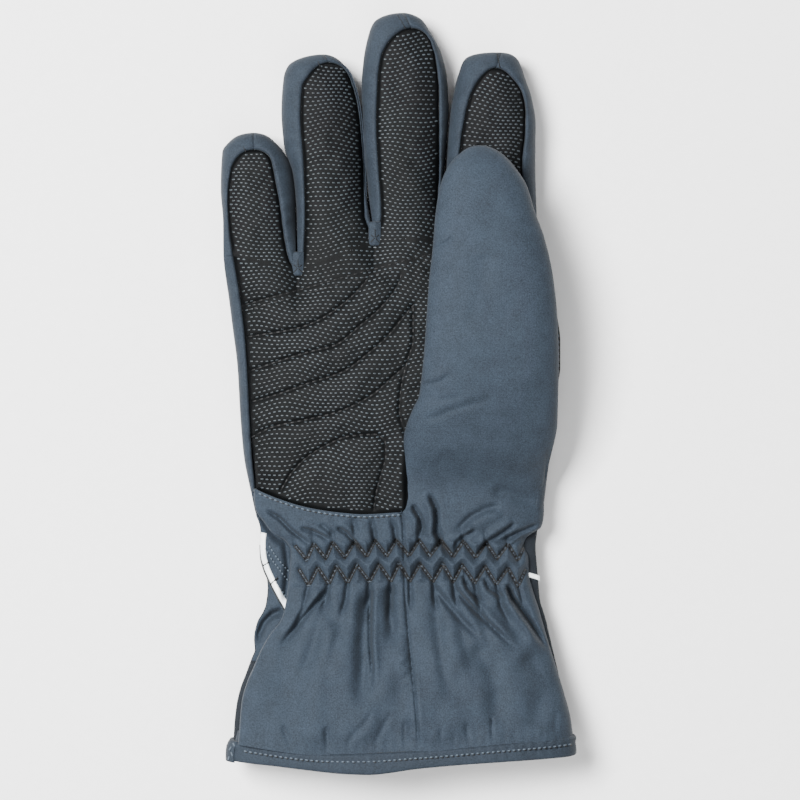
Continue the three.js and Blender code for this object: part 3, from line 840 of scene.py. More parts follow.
def dash_places(box, keep):
    """Rows of dashes over a box in plan, every second row shifted by half a dash."""
    (x0, x1), (y0, y1) = box
    rows = np.arange(math.floor(y0 / DASH_PITCH[1]), math.ceil(y1 / DASH_PITCH[1]))
    columns = np.arange(math.floor(x0 / DASH_PITCH[0]), math.ceil(x1 / DASH_PITCH[0]))
    j, i = np.meshgrid(rows, columns, indexing="ij")
    x = (i + 0.5 * (j % 2)) * DASH_PITCH[0]
    y = j * DASH_PITCH[1]
    sway = lambda a, b: 1.5 * np.sin(a / 8.5 + b / 21) + 0.7 * np.sin(a / 3.7 - b / 9)
    angle = np.arctan((sway(x + 0.5, y) - sway(x - 0.5, y)))
    y = y + sway(x, y)
    x, y, angle = x.ravel(), y.ravel(), angle.ravel()
    x = x + rng.normal(0, 0.06, x.shape)
    kept = keep(x, y)
    return x[kept], y[kept], angle[kept]


def make_dashes(body, name, box, keep, height):
    x, y, angle = dash_places(box, keep)
    vertices, faces = pads(x, y, angle, *DASH_SIZE, height, DASH_RISE)
    finish(new_object(name, vertices, faces, DASH), body, "grip")


def inside_palm(x, y):
    margin = 1.5
    ok = (x > GRIP_LEFT(np.clip(y, -36, 50)) + margin) & (x < palm_right(np.clip(y, -44, 50)) - margin)
    ok &= (y > HEEL_SEAM(x) + margin) & (y < WEB_LINE(x))
    for line in [*QUILT_LINES, GUSSET_SEAM]:
        ok &= np.abs(path_distance(x, y, line)[0]) > 0.5
    return ok & ((y > -8) | (x < THUMB.left(y) + 1))


def inside_panel(name, x, y):
    panel = PANEL[name]
    margin = 1.0
    ok = (y < panel.apex[1] - 1.4) & (y >= WEB_LINE(x))
    return ok & (x > panel.left(y) + margin) & (x < panel.right(y) - margin)


def make_all_dashes():
    make_dashes("hand", "palm_dashes", ((-62, 56), (-46, 58)), inside_palm, front)
    for name in FINGERS:
        apex = PANEL[name].apex
        box = ((apex[0] - 22, apex[0] + 22), (40, apex[1] + 2))
        surface = lambda x, y, n=name: front(x, y, n) - 0.25
        keep = lambda x, y, n=name: inside_panel(n, x, y)
        make_dashes(bends_at(name), f"{name}_dashes", box, keep, surface)


def along_path(points, pitch, start=0.0):
    """Places and directions at an even pitch along a path."""
    points = np.array(points, float)
    step = np.hypot(*np.diff(points, axis=0).T)
    length = np.concatenate([[0], np.cumsum(step)])
    s = np.arange(start, length[-1], pitch)
    x, y = np.interp(s, length, points[:, 0]), np.interp(s, length, points[:, 1])
    ahead = np.minimum(s + 0.4, length[-1])
    behind = np.maximum(s - 0.4, 0)
    dx = np.interp(ahead, length, points[:, 0]) - np.interp(behind, length, points[:, 0])
    dy = np.interp(ahead, length, points[:, 1]) - np.interp(behind, length, points[:, 1])
    return x, y, np.arctan2(dy, dx)


def stitches(body, name, paths, pitch, size, height, rise, material):
    """Raised stitches along paths. size holds a stitch's half length and half width."""
    parts = [along_path(p, pitch, 0.5 * pitch) for p in paths]
    x, y, angle = (np.concatenate([p[k] for p in parts]) for k in range(3))
    vertices, faces = pads(x, y, angle, *size, height, rise)
    obj = new_object(name, vertices, faces, material)
    finish(obj, body, "thread")
    return obj


def make_quilt_stitches():
    shown = GUSSET_SEAM[GUSSET_SEAM[:, 1] > -12]
    lines = [*QUILT_LINES, SECOND_ROW, shown]
    stitches("hand", "quilting_stitches", lines, 2.6, (0.85, 0.28), front, 0.22, DARK_THREAD_AND_SHADE)


# ---- Hand: side walls, webs and back ----


def hand_back(x, y):
    fingers = smoothstep(-20, 4, y - WEB_LINE(x))
    finger = np.min([finger_back(n, x, y) for n in FINGERS], axis=0)
    return mix(WAIST_Z - (WAIST_Z - 0.3) * dome(across_hand(x, y), 3.6), finger, fingers)


def make_hand_sides():
    """The strips between the grip panel and the back, beside the little finger and the index finger."""
    ruffled = lambda x, y: 0.3 * ripple(x, y * 0.7, 5) + 0.22 * np.sin(y * 0.9 + 3 * ripple(x, y, 11))
    even = lambda x, y: 0.3 * ripple(x, y, 6)
    for name, ends, grip, edge, inset, wrinkles in (
        ("little", (-37.2, 50.0), GRIP_LEFT, LEFT_EDGE, BACK_INSET, ruffled),
        ("index", (-44.0, 52.0), GRIP_RIGHT, RIGHT_EDGE, -BACK_INSET, even),
    ):
        y = np.linspace(*ends, 110)[::-1]
        bx = edge(y) + inset
        points = border_points((grip(y), y), (edge(y), y), front, (bx, y, hand_back(bx, y)), wrinkles)
        obj = sheet_object(f"{name}_side_panel", points, SHADED_SLATE, flip=name == "index", thickness=1.0)
        declare_cloth(points)
        finish(obj, "hand", "shell", f"{name}_side_wall")


def make_side_seam():
    """The black edge of the palm that shows beside the thumb, with its stitches."""
    y = np.linspace(2.0, 38.0, 60)[:, None]
    u = np.linspace(0, 1, 12)[None, :]
    ends = smoothstep(2, 9, y) * smoothstep(38, 31, y)
    x = RIGHT_EDGE(y) + mix(-3.0, 0.3 + 0.9 * ends, u)
    z = WAIST_Z + 3.0 + 1.5 * dome(2 * u - 1, 2) + 0 * x
    obj = sheet_object("side_seam_strip", np.dstack([x, y + 0 * x, z]), GRIP, thickness=0.8)
    finish(obj, "hand", "grip")
    path = np.column_stack([x[:, 9], y[:, 0]])
    top = lambda px, py: 0 * px + z[0, 9]
    stitches("hand", "side_seam_stitches", [path], 2.2, (0.6, 0.25), top, 0.3, STITCH)
    return obj


FINGERTIP_SEAMS = {
    "little": [(-58.4, 92.9), (-57.2, 90.6), (-56.4, 88.8)],
    "ring": [(-30.0, 123.2), (-29.4, 121.6), (-28.8, 120.2)],
    "middle": [(-0.3, 139.8), (1.2, 137.4), (2.8, 134.2)],
    "index": [(36.7, 125.4), (37.2, 122.8), (37.6, 119.8)],
}


def make_fingertip_seams():
    """The short seams that join the two border strips at each fingertip."""
    for name, path in FINGERTIP_SEAMS.items():
        height = lambda x, y, n=name: front(x, y, n) + 0.45
        stitches(bends_at(name), f"{name}_tip_seam", [path], 0.8, (0.42, 0.16), height, 0.2, DARK_THREAD_AND_SHADE)


# Each arm of a web tab's star of stitches, from its start to its end.
STAR_ARMS = [
    (0, 3.4, 0.1, 0.7), (-1.6, -1.4, -0.4, -0.1), (1.6, -1.4, 0.4, -0.1), (-1.5, 1.4, -0.5, 0.6),
    (1.5, 1.4, 0.5, 0.6),
]


def web_tab_height(x0, y0):
    """Height of the folded tab that closes the strips between two fingers."""
    edge = front(x0, y0 - 1.5)

    def height(x, y):
        across, along = (x - x0) / 2.5, (y - y0 - 3.4) / 4.6
        return edge - 0.6 + 2.1 * dome(across, 3.0) * dome(along, 5.0) + 0.2 * np.cos(across * 5)

    return height


def make_web_tabs():
    """The blunt ends of the strips between the fingers, each with a small star of stitches."""
    tabs = []
    for k, (x0, y0) in enumerate(WEBS[1:3]):
        height = web_tab_height(x0, y0)
        v = np.linspace(-1, 1, 25)[:, None]
        u = np.linspace(-1, 1, 17)[None, :]
        x = x0 + 2.4 * u + 0 * v
        y = y0 + 3.4 + 4.5 * v + 0 * u
        obj = sheet_object(f"web_tab_{k + 1}", np.dstack([x, y, height(x, y)]), SHADED_SLATE, thickness=0.6)
        finish(obj, "hand", "shell")
        paths = [[(x0 + a, y0 + 1.6 + b), (x0 + c, y0 + 1.6 + d)] for a, b, c, d in STAR_ARMS]
        stitches("hand", f"web_star_{k + 1}", paths, 0.7, (0.42, 0.17), height, 0.18, DARK_THREAD_AND_SHADE)
        tabs.append(obj)
    return tabs


def make_hand_back(webs):
    u = np.linspace(0, 1, 90)[None, :]
    v = np.linspace(0, 1, 90)[:, None]
    guess = mix(-45.0, 50.0, v)
    x = mix(LEFT_EDGE(guess) + BACK_INSET, RIGHT_EDGE(guess) - BACK_INSET, u)
    y = mix(np.full_like(x, -46.0), WEB_LINE(x) + 1.0, v)
    points = np.dstack([x, y, hand_back(x, y)])
    obj = sheet_object("hand_back_panel", points, SHELL, flip=True, thickness=1.0)
    declare_cloth(points, with_pieces=webs)
    nodes = ("hand_back", "back_insulation", "back_lining", "palm_insulation", "palm_lining")
    finish(obj, "hand", "back", *nodes)


# ---- Thumb and its base ----

THUMB = Outline(
    (30.2, 89.9),
    [(26.2, 89.3), (22.6, 87.0), (18.6, 82.7), (15.5, 75.3), (13.7, 64.9), (12.6, 51.6), (11.3, 40.1),
     (10.4, 26.8), (9.4, 12.8), (8.4, 3.5), (7.6, -2.0), (5.8, -5.6), (3.0, -12.8), (1.3, -20.2),
     (0.4, -29.8), (0.9, -44.6)],
    [(34.4, 89.0), (38.2, 86.8), (42.6, 82.2), (47.0, 75.3), (50.0, 65.7), (53.7, 55.3), (56.6, 42.0),
     (58.2, 26.8), (58.8, 10.2), (58.7, -10.9), (57.5, -22.0), (55.1, -39.0), (54.2, -44.6)],
)
# Height at which the thumb is widest, and how far it rises above that.
THUMB_WAIST = smooth_through([
    (-50, 9.0), (-44.6, 10.5), (-36, 14.0), (-26, 18.8), (-16, 24.2), (-6, 29.2), (6, 33.4), (20, 35.8),
    (40, 36.6), (90, 34.0),
])
THUMB_TOP = smooth_through([(-44.6, 13.0), (-30, 13.0), (-10, 12.4), (30, 11.2), (90, 10.2)])
THUMB_CREASES = [
    ([(11.5, 51.0), (15.2, 52.4), (18.5, 54.6), (21, 57.5)], 0.7, 0.8, 1),
    ([(8.0, 2.2), (11.5, 2.6), (15.5, 3.6), (20, 7)], 0.7, 0.9, 1),
    ([(8.5, -10.2), (14.0, -9.4), (19, -7.0), (27, -4.6), (36, -2.0)], 0.55, 1.3, 1),
    ([(14, -3.6), (20, -2.6), (25, -0.6)], 0.3, 1.1, 1),
    ([(30.5, 50.0), (31, 42), (28.5, 34)], 0.6, 3.6, 0),
    ([(17.5, 46), (16.5, 38), (15, 33)], 0.4, 2.6, 0),
    ([(16.5, 76), (15.8, 66), (18, 58)], 0.4, 2.8, 0),
    ([(52, 4), (47, -12), (45, -26)], 0.8, 5.5, 0),
    ([(14, -24), (22, -31), (30, -33)], 0.7, 3.0, 0),
    ([(24, 30), (36, 26), (48, 30)], 0.4, 6.0, 0),
]


def across_front(x, y):
    """Place across the front panel, carried up beyond its top edge."""
    return across_panel(x, np.minimum(y, SEAM_Y))


def thumb_top(x, y):
    """Height of the thumb's and thumb base's outer side."""
    rise = dome(1 - np.clip((THUMB.apex[1] - y) / 17.0, 0, 1), 2.2)
    own = THUMB_WAIST(y) + THUMB_TOP(y) * (0.1 + 0.9 * rise) * dome(THUMB.across(x, y), 2.5)
    wrist = CUFF_MIDDLE(y) + CUFF_HALF(y) * dome(across_front(x, y), 3.0)
    z = mix(wrist, own, smoothstep(SEAM_Y, -20, y)) + folds(x, y, THUMB_CREASES)
    soft = 0.5 * ripple(x, y * 0.6, 19) + 0.12 * ripple(x + 9, y, 9) + 0.03 * ripple(x, y, 3)
    z = z + soft * dome(THUMB.across(x, y), 2) * smoothstep(SEAM_Y, -34, y)
    return z + relief(x, y) * dome(across_front(x, y), 3) * smoothstep(-28, -40, y)


def bend_thumb(obj):
    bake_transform(obj)


def thumb_points():
    """The thumb shell from its left free edge over its top to its right free edge, tip first."""
    rows, columns = 270, 130
    y = (THUMB.apex[1] - (THUMB.apex[1] - SEAM_Y) * down(rows, 0.12))[:, None]
    angle = np.linspace(np.pi, 0, columns)[None, :]
    left = THUMB.left(y)
    right = mix(FRONT_RIGHT(SEAM_Y), THUMB.right(y), smoothstep(SEAM_Y, -12, y))
    x = (left + right) / 2 + (right - left) / 2 * np.cos(angle)
    top = np.dstack([x, np.broadcast_to(y, x.shape), thumb_top(x, y)])
    free = smoothstep(-16, -4, y)
    inward = mix(0.4, np.minimum(5.0, 0.25 * (right - left)), free)
    under = THUMB_WAIST(y) - 7.5 * dome(1 - np.clip((THUMB.apex[1] - y) / 15.0, 0, 1), 2.2)
    foot_left = mix(np.minimum(front(left, y) - 1.5, top[:, :1, 2]), under, free)
    foot_right = mix(np.minimum(WAIST_Z - 4.0, top[:, -1:, 2]), under, free)
    v = np.linspace(0, 1, 9)[None, 1:]
    turn = 1 - np.cos(v * np.pi / 2)
    sides = []
    for sign, edge, foot in ((1, top[:, :1], foot_left), (-1, top[:, -1:], foot_right)):
        sx = edge[:, :, 0] + sign * inward * turn
        sz = mix(edge[:, :, 2], foot, np.sin(v * np.pi / 2))
        sides.append(np.dstack([sx, np.broadcast_to(y, sx.shape), sz]))
    return np.concatenate([sides[0][:, ::-1], top, sides[1]], axis=1)


def make_thumb():
    points = thumb_points()
    shell = sheet_object("thumb_shell_panel", points, SHELL, flip=True, thickness=1.0, crisp=True)
    nodes = ("thumb_shell", "thumb_base", "thumb_base_insulation", "thumb_base_lining",
             "thumb_insulation", "thumb_lining")
    finish(shell, bend_thumb, "shell", *nodes)
    make_thumb_grip(points)


def make_thumb_grip(shell):
    """The black underside between the shell's two free edges."""
    keep = shell[:, 0, 1] > -17
    left, right = shell[keep, 0], shell[keep, -1]
    u = np.linspace(0, 1, 30)[None, :, None]
    points = mix(left[:, None, :], right[:, None, :], u)
    points[:, :, 2] -= 2.6 * dome(2 * u[..., 0] - 1, 2.2) * smoothstep(90, 80, points[:, :, 1])
    tucked = smoothstep(-6, -17, points[:, :, 1])
    points[:, :, 0] -= 9 * tucked * u[..., 0]
    points[:, :, 2] += tucked * (4 * u[..., 0] - 3)
    obj = sheet_object("thumb_grip_panel", points, GRIP, flip=True, thickness=1.0)
    declare_cloth(points)
    finish(obj, bend_thumb, "grip", "thumb_grip")


# ---- Wrist and cuff ----

# X of the zigzags' turns, starting with an upper one.
ZIGZAG_TURNS = (
    [-38.1, -33.7, -31.1, -26.6, -24.1, -19.6, -15.9, -11.5, -8.5, -4.1, -0.7, 4.1, 7.8, 11.8, 15.9,
     20.4, 24.1, 28.7, 32.6, 36.6, 40.7, 44.4, 47.2],
    [-36.6, -32.9, -29.6, -25.5, -22.6, -18.5, -15.2, -10.5, -7.0, -2.6, 0.4, 4.4, 8.1, 13.0, 16.6, 20.4,
     23.7, 28.3, 32.2, 36.3, 40.7, 44.4, 47.5],
)
ZIGZAG_HEIGHT = (5.7, 6.3)  # of the upper and the lower row


def zigzag_middle(x, row):
    """Y of a zigzag row's middle line, which bows down at both ends."""
    return (-57.8, -66.8)[row] - (2.0, 2.2)[row] * ((x - 4) / 42) ** 2


def zigzag_path(row):
    x = np.array(ZIGZAG_TURNS[row])
    swing = np.where(np.arange(len(x)) % 2 == 0, 0.5, -0.5) * ZIGZAG_HEIGHT[row]
    return np.column_stack([x, zigzag_middle(x, row) + swing])


ZIGZAGS = [zigzag_path(0), zigzag_path(1)]
CENTRE_SEAM = rounded_path([
    (1.1, -44.2), (1.9, -49.4), (2.2, -56.8), (2.3, -64.2), (2.6, -73.4), (3.3, -82.7), (4.1, -91.9),
    (5.2, -103), (6.3, -114.1), (7.0, -123.4), (7.8, -133),
])
# Folds of the cuff and of the wrist, as folds() takes them.
CUFF_FOLDS = [
    ([(-25.5, -72.3), (-28.5, -76.4), (-32.9, -81.2), (-36.6, -85.7), (-40.3, -90.1),
      (-44, -94.5)], 2.3, 1.0, -1),
    ([(-9.6, -71), (-10.4, -80.8), (-10.4, -91.9), (-9.6, -101.2), (-10, -110.4)], 1.7, 0.7, 1),
    ([(-11.8, -72), (-12.2, -84.5), (-12.6, -95.6), (-13.3, -106.7), (-14.1, -118)], 2.2, 3.0, 0),
    ([(-9.2, -117), (-12.6, -122.3), (-16.6, -126), (-18.5, -129.7), (-18.9, -134)], 0.45, 1.1, 1),
    ([(-2.6, -70.5), (-3.3, -77.1), (-2.2, -86.4), (-1.1, -95)], 1.5, 2.0, 0),
    ([(12.9, -70.5), (15.5, -74.9), (19.2, -79.7), (23.7, -84.5), (28.5, -89.4),
      (31.8, -92.7)], 1.4, 1.2, 1),
    ([(20.6, -71.5), (23.7, -76), (28.1, -80.5), (34, -86), (39.6, -91.2), (44.4, -95.6)], 1.8, 0.9, 1),
    ([(23.6, -66.6), (25.9, -72.7), (29.2, -76.4), (33.7, -79.5)], 1.6, 0.8, -1),
    ([(31.4, -67.7), (33.7, -72.7), (37.7, -75.3), (41.7, -77.6)], 1.5, 0.8, -1),
    ([(40.2, -70.5), (42.5, -76.4), (45.5, -80.5), (49.6, -86), (52.9, -91.2),
      (56.6, -97)], 4.6, 0.95, -1),
    ([(26.6, -91.9), (33.3, -101.2), (35.5, -110.4), (35.1, -119.7), (34.4, -129)], 1.9, 4.0, 0),
    ([(45.1, -95.6), (51.1, -102.3), (54.4, -108.6), (51.8, -117.8), (50, -128)], 2.2, 4.6, 0),
    ([(-28.1, -77.1), (-25.2, -81.6), (-22.2, -88)], 1.0, 2.5, 0),
    ([(-26.3, -122), (-25.9, -127.8), (-25.2, -134)], 0.9, 1.0, 0),
    ([(-2.2, -117), (-6.3, -124.5), (-8.9, -129.7), (-9.2, -135)], 0.4, 1.1, 0),
    ([(-42.2, -122), (-40.3, -127.5), (-38.9, -132)], 0.7, 1.0, 0),
    ([(2.6, -120), (2.6, -127.1), (2.2, -133)], 0.6, 1.0, 0),
    ([(34.4, -119), (34.4, -130)], 0.8, 0.6, 0),
    ([(15.5, -123), (15.9, -131)], 0.5, 0.9, 0),
    ([(25.2, -121), (25.5, -131)], 0.5, 0.9, 0),
    ([(58.5, -117), (57, -129)], 0.6, 1.2, 0),
]
WRIST_FOLDS = [
    ([(-49.2, -43.8), (-44, -46.8), (-40, -50.9), (-35.9, -54.2), (-31.1, -57.5)], 1.9, 0.8, 0),
    ([(-36.6, -50.5), (-31.8, -51.6), (-27.8, -53.5), (-24.1, -55.7)], 1.5, 0.8, 1),
    ([(-28.9, -48.7), (-25.5, -51.6), (-22.2, -53.8)], 0.8, 0.9, 1),
    ([(-22.9, -49.8), (-18.9, -52.4), (-15.9, -56.1), (-12.5, -60)], 1.5, 0.8, 1),
    ([(-8.5, -56.3), (-9.2, -51.2), (-10, -46)], 1.1, 1.1, 0),
    ([(-17, -46), (-15.2, -52), (-12.6, -58.8)], 0.8, 1.2, 0),
    ([(-0.7, -56.4), (-1.5, -50.5), (-2.6, -45.8)], 1.0, 1.1, 0),
    ([(11.1, -37), (14.1, -43.1), (14.4, -47.5), (14.1, -52), (15.9, -56.2),
      (19.6, -61.5)], 2.2, 0.9, -1),
    ([(5.0, -41.5), (8.1, -46.4), (8.9, -50.5), (7.8, -55.5)], 1.9, 0.9, -1),
    ([(38.3, -42.0), (31.8, -43.8), (27.4, -46.1), (23.3, -49.8), (19.4, -54.4)], 1.2, 1.3, 1),
    ([(29.1, -51), (24.8, -53.5), (21.8, -55.7), (20, -60)], 1.1, 0.8, -1),
    ([(43.8, -48.5), (37.4, -53.1), (33.7, -55.3), (29.3, -60.3)], 1.5, 0.8, -1),
    ([(52.8, -49.1), (44.4, -52.4), (40, -54.9), (34.5, -55.9)], 2.1, 1.0, 1),
    ([(48.6, -53.2), (42.9, -56.4), (39.7, -59.9)], 1.0, 0.8, 1),
    ([(34.6, -35.5), (42.2, -37.6), (48.1, -40.5), (53.5, -45.6)], 1.2, 2.5, 0),
]
# Half thickness and middle height of the wrist and cuff.
CUFF_HALF = smooth_through([
    (-140, 17.8), (-122, 17.2), (-100, 15.8), (-76, 13.4), (-64, 12.4), (-44, 13.2),
])
CUFF_MIDDLE = smooth_through([
    (-140, 17.8), (-122, 17.0), (-100, 14.8), (-76, 12.0), (-60, 11.2), (-36, WAIST_Z),
])
FOLD_DEPTH = 1.65  # how much deeper the folds lie than the depths in their lists


def pleats():
    """Short valleys that run on from the zigzags' turns, up from the upper row and down from the lower."""
    rows = []
    for x, y in ZIGZAGS[0][::2]:
        length = 5 + 3 * rng.random()
        rows.append(([(x, y - 1.5), (x - 0.3, y + 0.5 * length), (x - 0.8, y + length)], 1.3, 0.8, 0))
    for x, y in ZIGZAGS[1][1::2]:
        length = 9 + 9 * rng.random()
        lean = 0.011 * (x - 2) * length
        path = [(x, y + 1.5), (x + 0.3 * lean, y - 0.5 * length), (x + lean, y - length)]
        rows.append((path, 2.2, 0.9, 0))
        reach = 26 + 22 * rng.random()
        lean = 0.012 * (x - 2) * reach
        rows.append(([(x, y), (x + 0.35 * lean, y - 0.5 * reach), (x + lean, y - reach)], 1.3, 2.3, 0))
    return rows


PLEATS = pleats()
# The hem's top edge and the mouth: y against x.
HEM_TOP = smooth_through([(-64, -129.0), (-26, -133.2), (8, -132.0), (40, -129.5), (66, -127.6)])
HEM_EDGE = smooth_through([
    (-64, -136.0), (-50, -137.0), (-11, -140.2), (8, -138.0), (30, -136.2), (66, -134.4),
])


def shirring(x, y):
    """The cloth between the two zigzags and close to them: pinned along the threads, puffed up between."""
    near = np.full(np.shape(x), 9.0)
    close = (y > -78) & (y < -46)
    for path in ZIGZAGS:
        near[close] = np.minimum(near[close], np.abs(path_distance(x[close], y[close], path)[0]))
    middle = (zigzag_middle(x, 0) + zigzag_middle(x, 1)) / 2
    inner = smoothstep(8.4, 6.0, np.abs(y - middle))
    ends = smoothstep(-42, -38, x) * smoothstep(50, 47, x)
    puff = 3.2 * np.clip(near / 2.8, 0, 1) ** 0.8 - 1.6
    return ends * (inner * puff - 1.2 * bell(near, 0.7))


def relief(x, y):
    """Everything that stands out from the smooth shape of the wrist's and cuff's front."""
    x, y = np.broadcast_arrays(np.asarray(x, float), np.asarray(y, float))
    z = shirring(x, y) + folds(x, y, PLEATS) + FOLD_DEPTH * folds(x, y, CUFF_FOLDS + WRIST_FOLDS)
    seam, _ = path_distance(x, y, CENTRE_SEAM)
    on_seam = smoothstep(-42, -46, y)
    z = z + on_seam * (0.35 * bell(seam - 1.6, 1.2) - 1.1 * bell(seam, 0.5))
    pucker = 0.35 * np.sin(y * 1.3 + 4 * ripple(x, y, 9)) * bell(seam + 2, 1.8)
    cuff = smoothstep(-70, -92, y)
    soft = cuff * (2.6 * ripple(x, y * 0.4, 14) + 1.2 * ripple(x + 31, y * 0.6, 6.5))
    above = y - HEM_TOP(x)
    hem = 0.09 * np.sin(x * 1.9 + 3 * ripple(x, 0 * y, 10)) * bell(above - 2.5, 3)
    held = mix(0.12, 1, smoothstep(0, 9, above))
    return held * (z + soft + cuff * pucker + 0.12 * ripple(x, y, 3.2)) + hem * smoothstep(0, 1.5, above)


def front_height(x, y):
    """Height of the front panel, whose left edge lies on the side of the cuff."""
    share = across_panel(x, y)
    shelf = 0.62 * smoothstep(0, -0.6, share)
    shape = shelf + (1 - shelf) * dome(share, 3.0)
    return CUFF_MIDDLE(y) + CUFF_HALF(y) * shape + relief(x, y) * dome(share, 3)


def side_height(x, y):
    """Height of the cuff's own sides, on which the front panel lies."""
    share = across_hand(x, y)
    z = CUFF_MIDDLE(y) + 0.46 * CUFF_HALF(y) * dome(share, 2.2)
    return z + folds(x, y, SIDE_FOLDS) + 0.35 * ripple(x, y, 8) * dome(share, 3)


SIDE_FOLDS = [
    ([(-44.6, -52), (-41.6, -56), (-40.6, -66), (-41.8, -77), (-43.2, -84)], 3.4, 1.5, 0),
    ([(-42.0, -81.4), (-46.6, -83), (-49.6, -86), (-51.4, -90), (-52.0, -96)], 4.0, 1.5, 0),
    ([(-52.6, -43), (-48.8, -49.8), (-45.5, -53.8), (-42.5, -56.8), (-41.4, -59.5)], 3.6, 1.5, 0),
]


def under_height(x, y):
    return CUFF_MIDDLE(y) - (CUFF_MIDDLE(y) - 0.3) * dome(across_hand(x, y), 3.0)


def bend_wrist(obj):
    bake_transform(obj)


def spaced(stops):
    """Positions between stops, each given with the step that is wanted after it."""
    parts = []
    for (start, step), (end, _) in zip(stops[:-1], stops[1:]):
        parts.append(np.arange(start, end, math.copysign(step, end - start)))
    return np.concatenate([*parts, [stops[-1][0]]])


def wrist_front_points():
    """The front panel in rows from its top seam to the hem, closer together at the sides and zigzags."""
    share = np.cos(np.linspace(np.pi, 0, 300))[None, :]
    share = share * (0.62 + 0.38 * share ** 2)
    v = spaced([(SEAM_Y, 0.42), (-80, 0.6), (-100, 0.9), (-133, 0)])[:, None]
    v = (v - v[0]) / (v[-1] - v[0])
    y = mix(SEAM_Y, -131.0, v) + 0 * share
    for _ in range(4):
        low, high = FRONT_LEFT(y), FRONT_RIGHT(y)
        x = (low + high) / 2 + share * (high - low) / 2
        top = np.where(x < 1.5, HEEL_SEAM(x), SEAM_Y)
        y = mix(top, HEM_TOP(x), v)
    return np.dstack([x, y, front_height(x, y)])


def make_wrist_front():
    """The shirred front, whose left edge turns down to the cuff's side."""
    points = wrist_front_points()
    turn = np.linspace(1, 0, 11)[None, :-1]
    edge_x, edge_y, edge_z = (points[:, :1, k] for k in range(3))
    side_x = edge_x + 2.5 * turn ** 2 - 0.4 * np.sin(np.pi * turn)
    side_y = edge_y + 0 * turn
    foot = np.minimum(side_height(edge_x + 2.5, edge_y) - 0.8, edge_z)
    side_z = mix(edge_z, foot, turn)
    points = np.concatenate([np.dstack([side_x, side_y, side_z]), points], axis=1)
    obj = sheet_object("cuff_front_panel", points, SHELL, flip=True, thickness=1.0, crisp=True)
    declare_cloth(points)
    finish(obj, bend_wrist, "shell", "palm_heel", "cuff_front_left", "cuff_front_right")


def tube_points(y):
    """Rings round the cuff's sides and back, open under the front panel. Columns run from left to right."""
    columns, tuck, wrap = 26, 5.0, 18
    y = y[:, None]
    left, right = LEFT_EDGE(y), RIGHT_EDGE(y)
    ease = np.sin(np.linspace(0, np.pi / 2, columns))[None, :]
    upper_left = mix(np.minimum(FRONT_LEFT(y) + tuck, left + wrap), left, ease)
    under = mix(left, right, (1 - np.cos(np.linspace(0, np.pi, 60)[None, 1:-1])) / 2)
    upper_right = mix(np.maximum(FRONT_RIGHT(y) - tuck, right - wrap), right, ease)[:, ::-1]
    x = np.concatenate([upper_left, under, upper_right], axis=1)
    yy = np.broadcast_to(y, x.shape)
    z = side_height(x, yy)
    bottom = slice(columns, -columns)
    z[:, bottom] = under_height(x[:, bottom], yy[:, bottom])
    return np.dstack([x, yy, z])


def make_cuff_back(piping):
    y = spaced([(-36.5, 0.8), (-100, 1.4), (-131, 0)])
    points = tube_points(y)
    cut = int(np.searchsorted(-y, 100))
    for name, rows, body, pieces, node in (
        ("wrist_back_shell", points[:cut + 1], bend_wrist, piping, "wrist_back_panel"),
        ("cuff_back_shell", points[cut:], "cuff", (), "cuff_back"),
    ):
        obj = sheet_object(name, rows, DARK, thickness=1.0)
        declare_cloth(rows, with_pieces=pieces)
        finish(obj, body, "back", node)


def band_points(path, width, lift, height, columns=9):
    """A narrow rounded band along a path in plan, on a surface."""
    path = rounded_path(path, 0.6)
    along = np.gradient(path, axis=0)
    along /= np.hypot(*along.T)[:, None]
    across = np.column_stack([-along[:, 1], along[:, 0]])
    u = np.linspace(-1, 1, columns)
    x = path[:, 0:1] + across[:, 0:1] * u * width / 2
    y = path[:, 1:2] + across[:, 1:2] * u * width / 2
    z = height(x, y) + lift * dome(u, 2.5) - 0.3
    return np.dstack([x, y, z])


PIPING_PATH = [
    (-49.9, -52.6), (-50.3, -56.0), (-50.1, -60.5), (-49.0, -65.0), (-46.9, -69.7), (-44.0, -75.2),
    (-41.0, -80.4),
]


def back_piping_points():
    t = np.linspace(0, 1, 60)
    x = mix(-50.8, 51.0, (1 - np.cos(t * np.pi)) / 2)
    y = mix(-57.0, -68.4, t)
    rows = []
    for k in (-1.0, -0.5, 0, 0.5, 1.0):
        z = under_height(x, y + k) + 0.1 - 0.5 * dome(k, 2)
        rows.append(np.column_stack([x, y + k, np.maximum(z, 0.02)]))
    return np.array(rows).transpose(1, 0, 2)


def right_piping_points():
    v = np.linspace(-1, 1, 9)[:, None]
    u = np.linspace(0, 1, 14)[None, :]
    x = mix(47.0, 52.9, np.sin(u * np.pi / 2)) + 0 * v
    y = -67.8 + 0.95 * v - 2.2 * u
    z = mix(side_height(np.minimum(x, 51), y) + 0.7 * dome(v, 2.5), 9.0, u ** 6)
    return np.dstack([x, y, z])


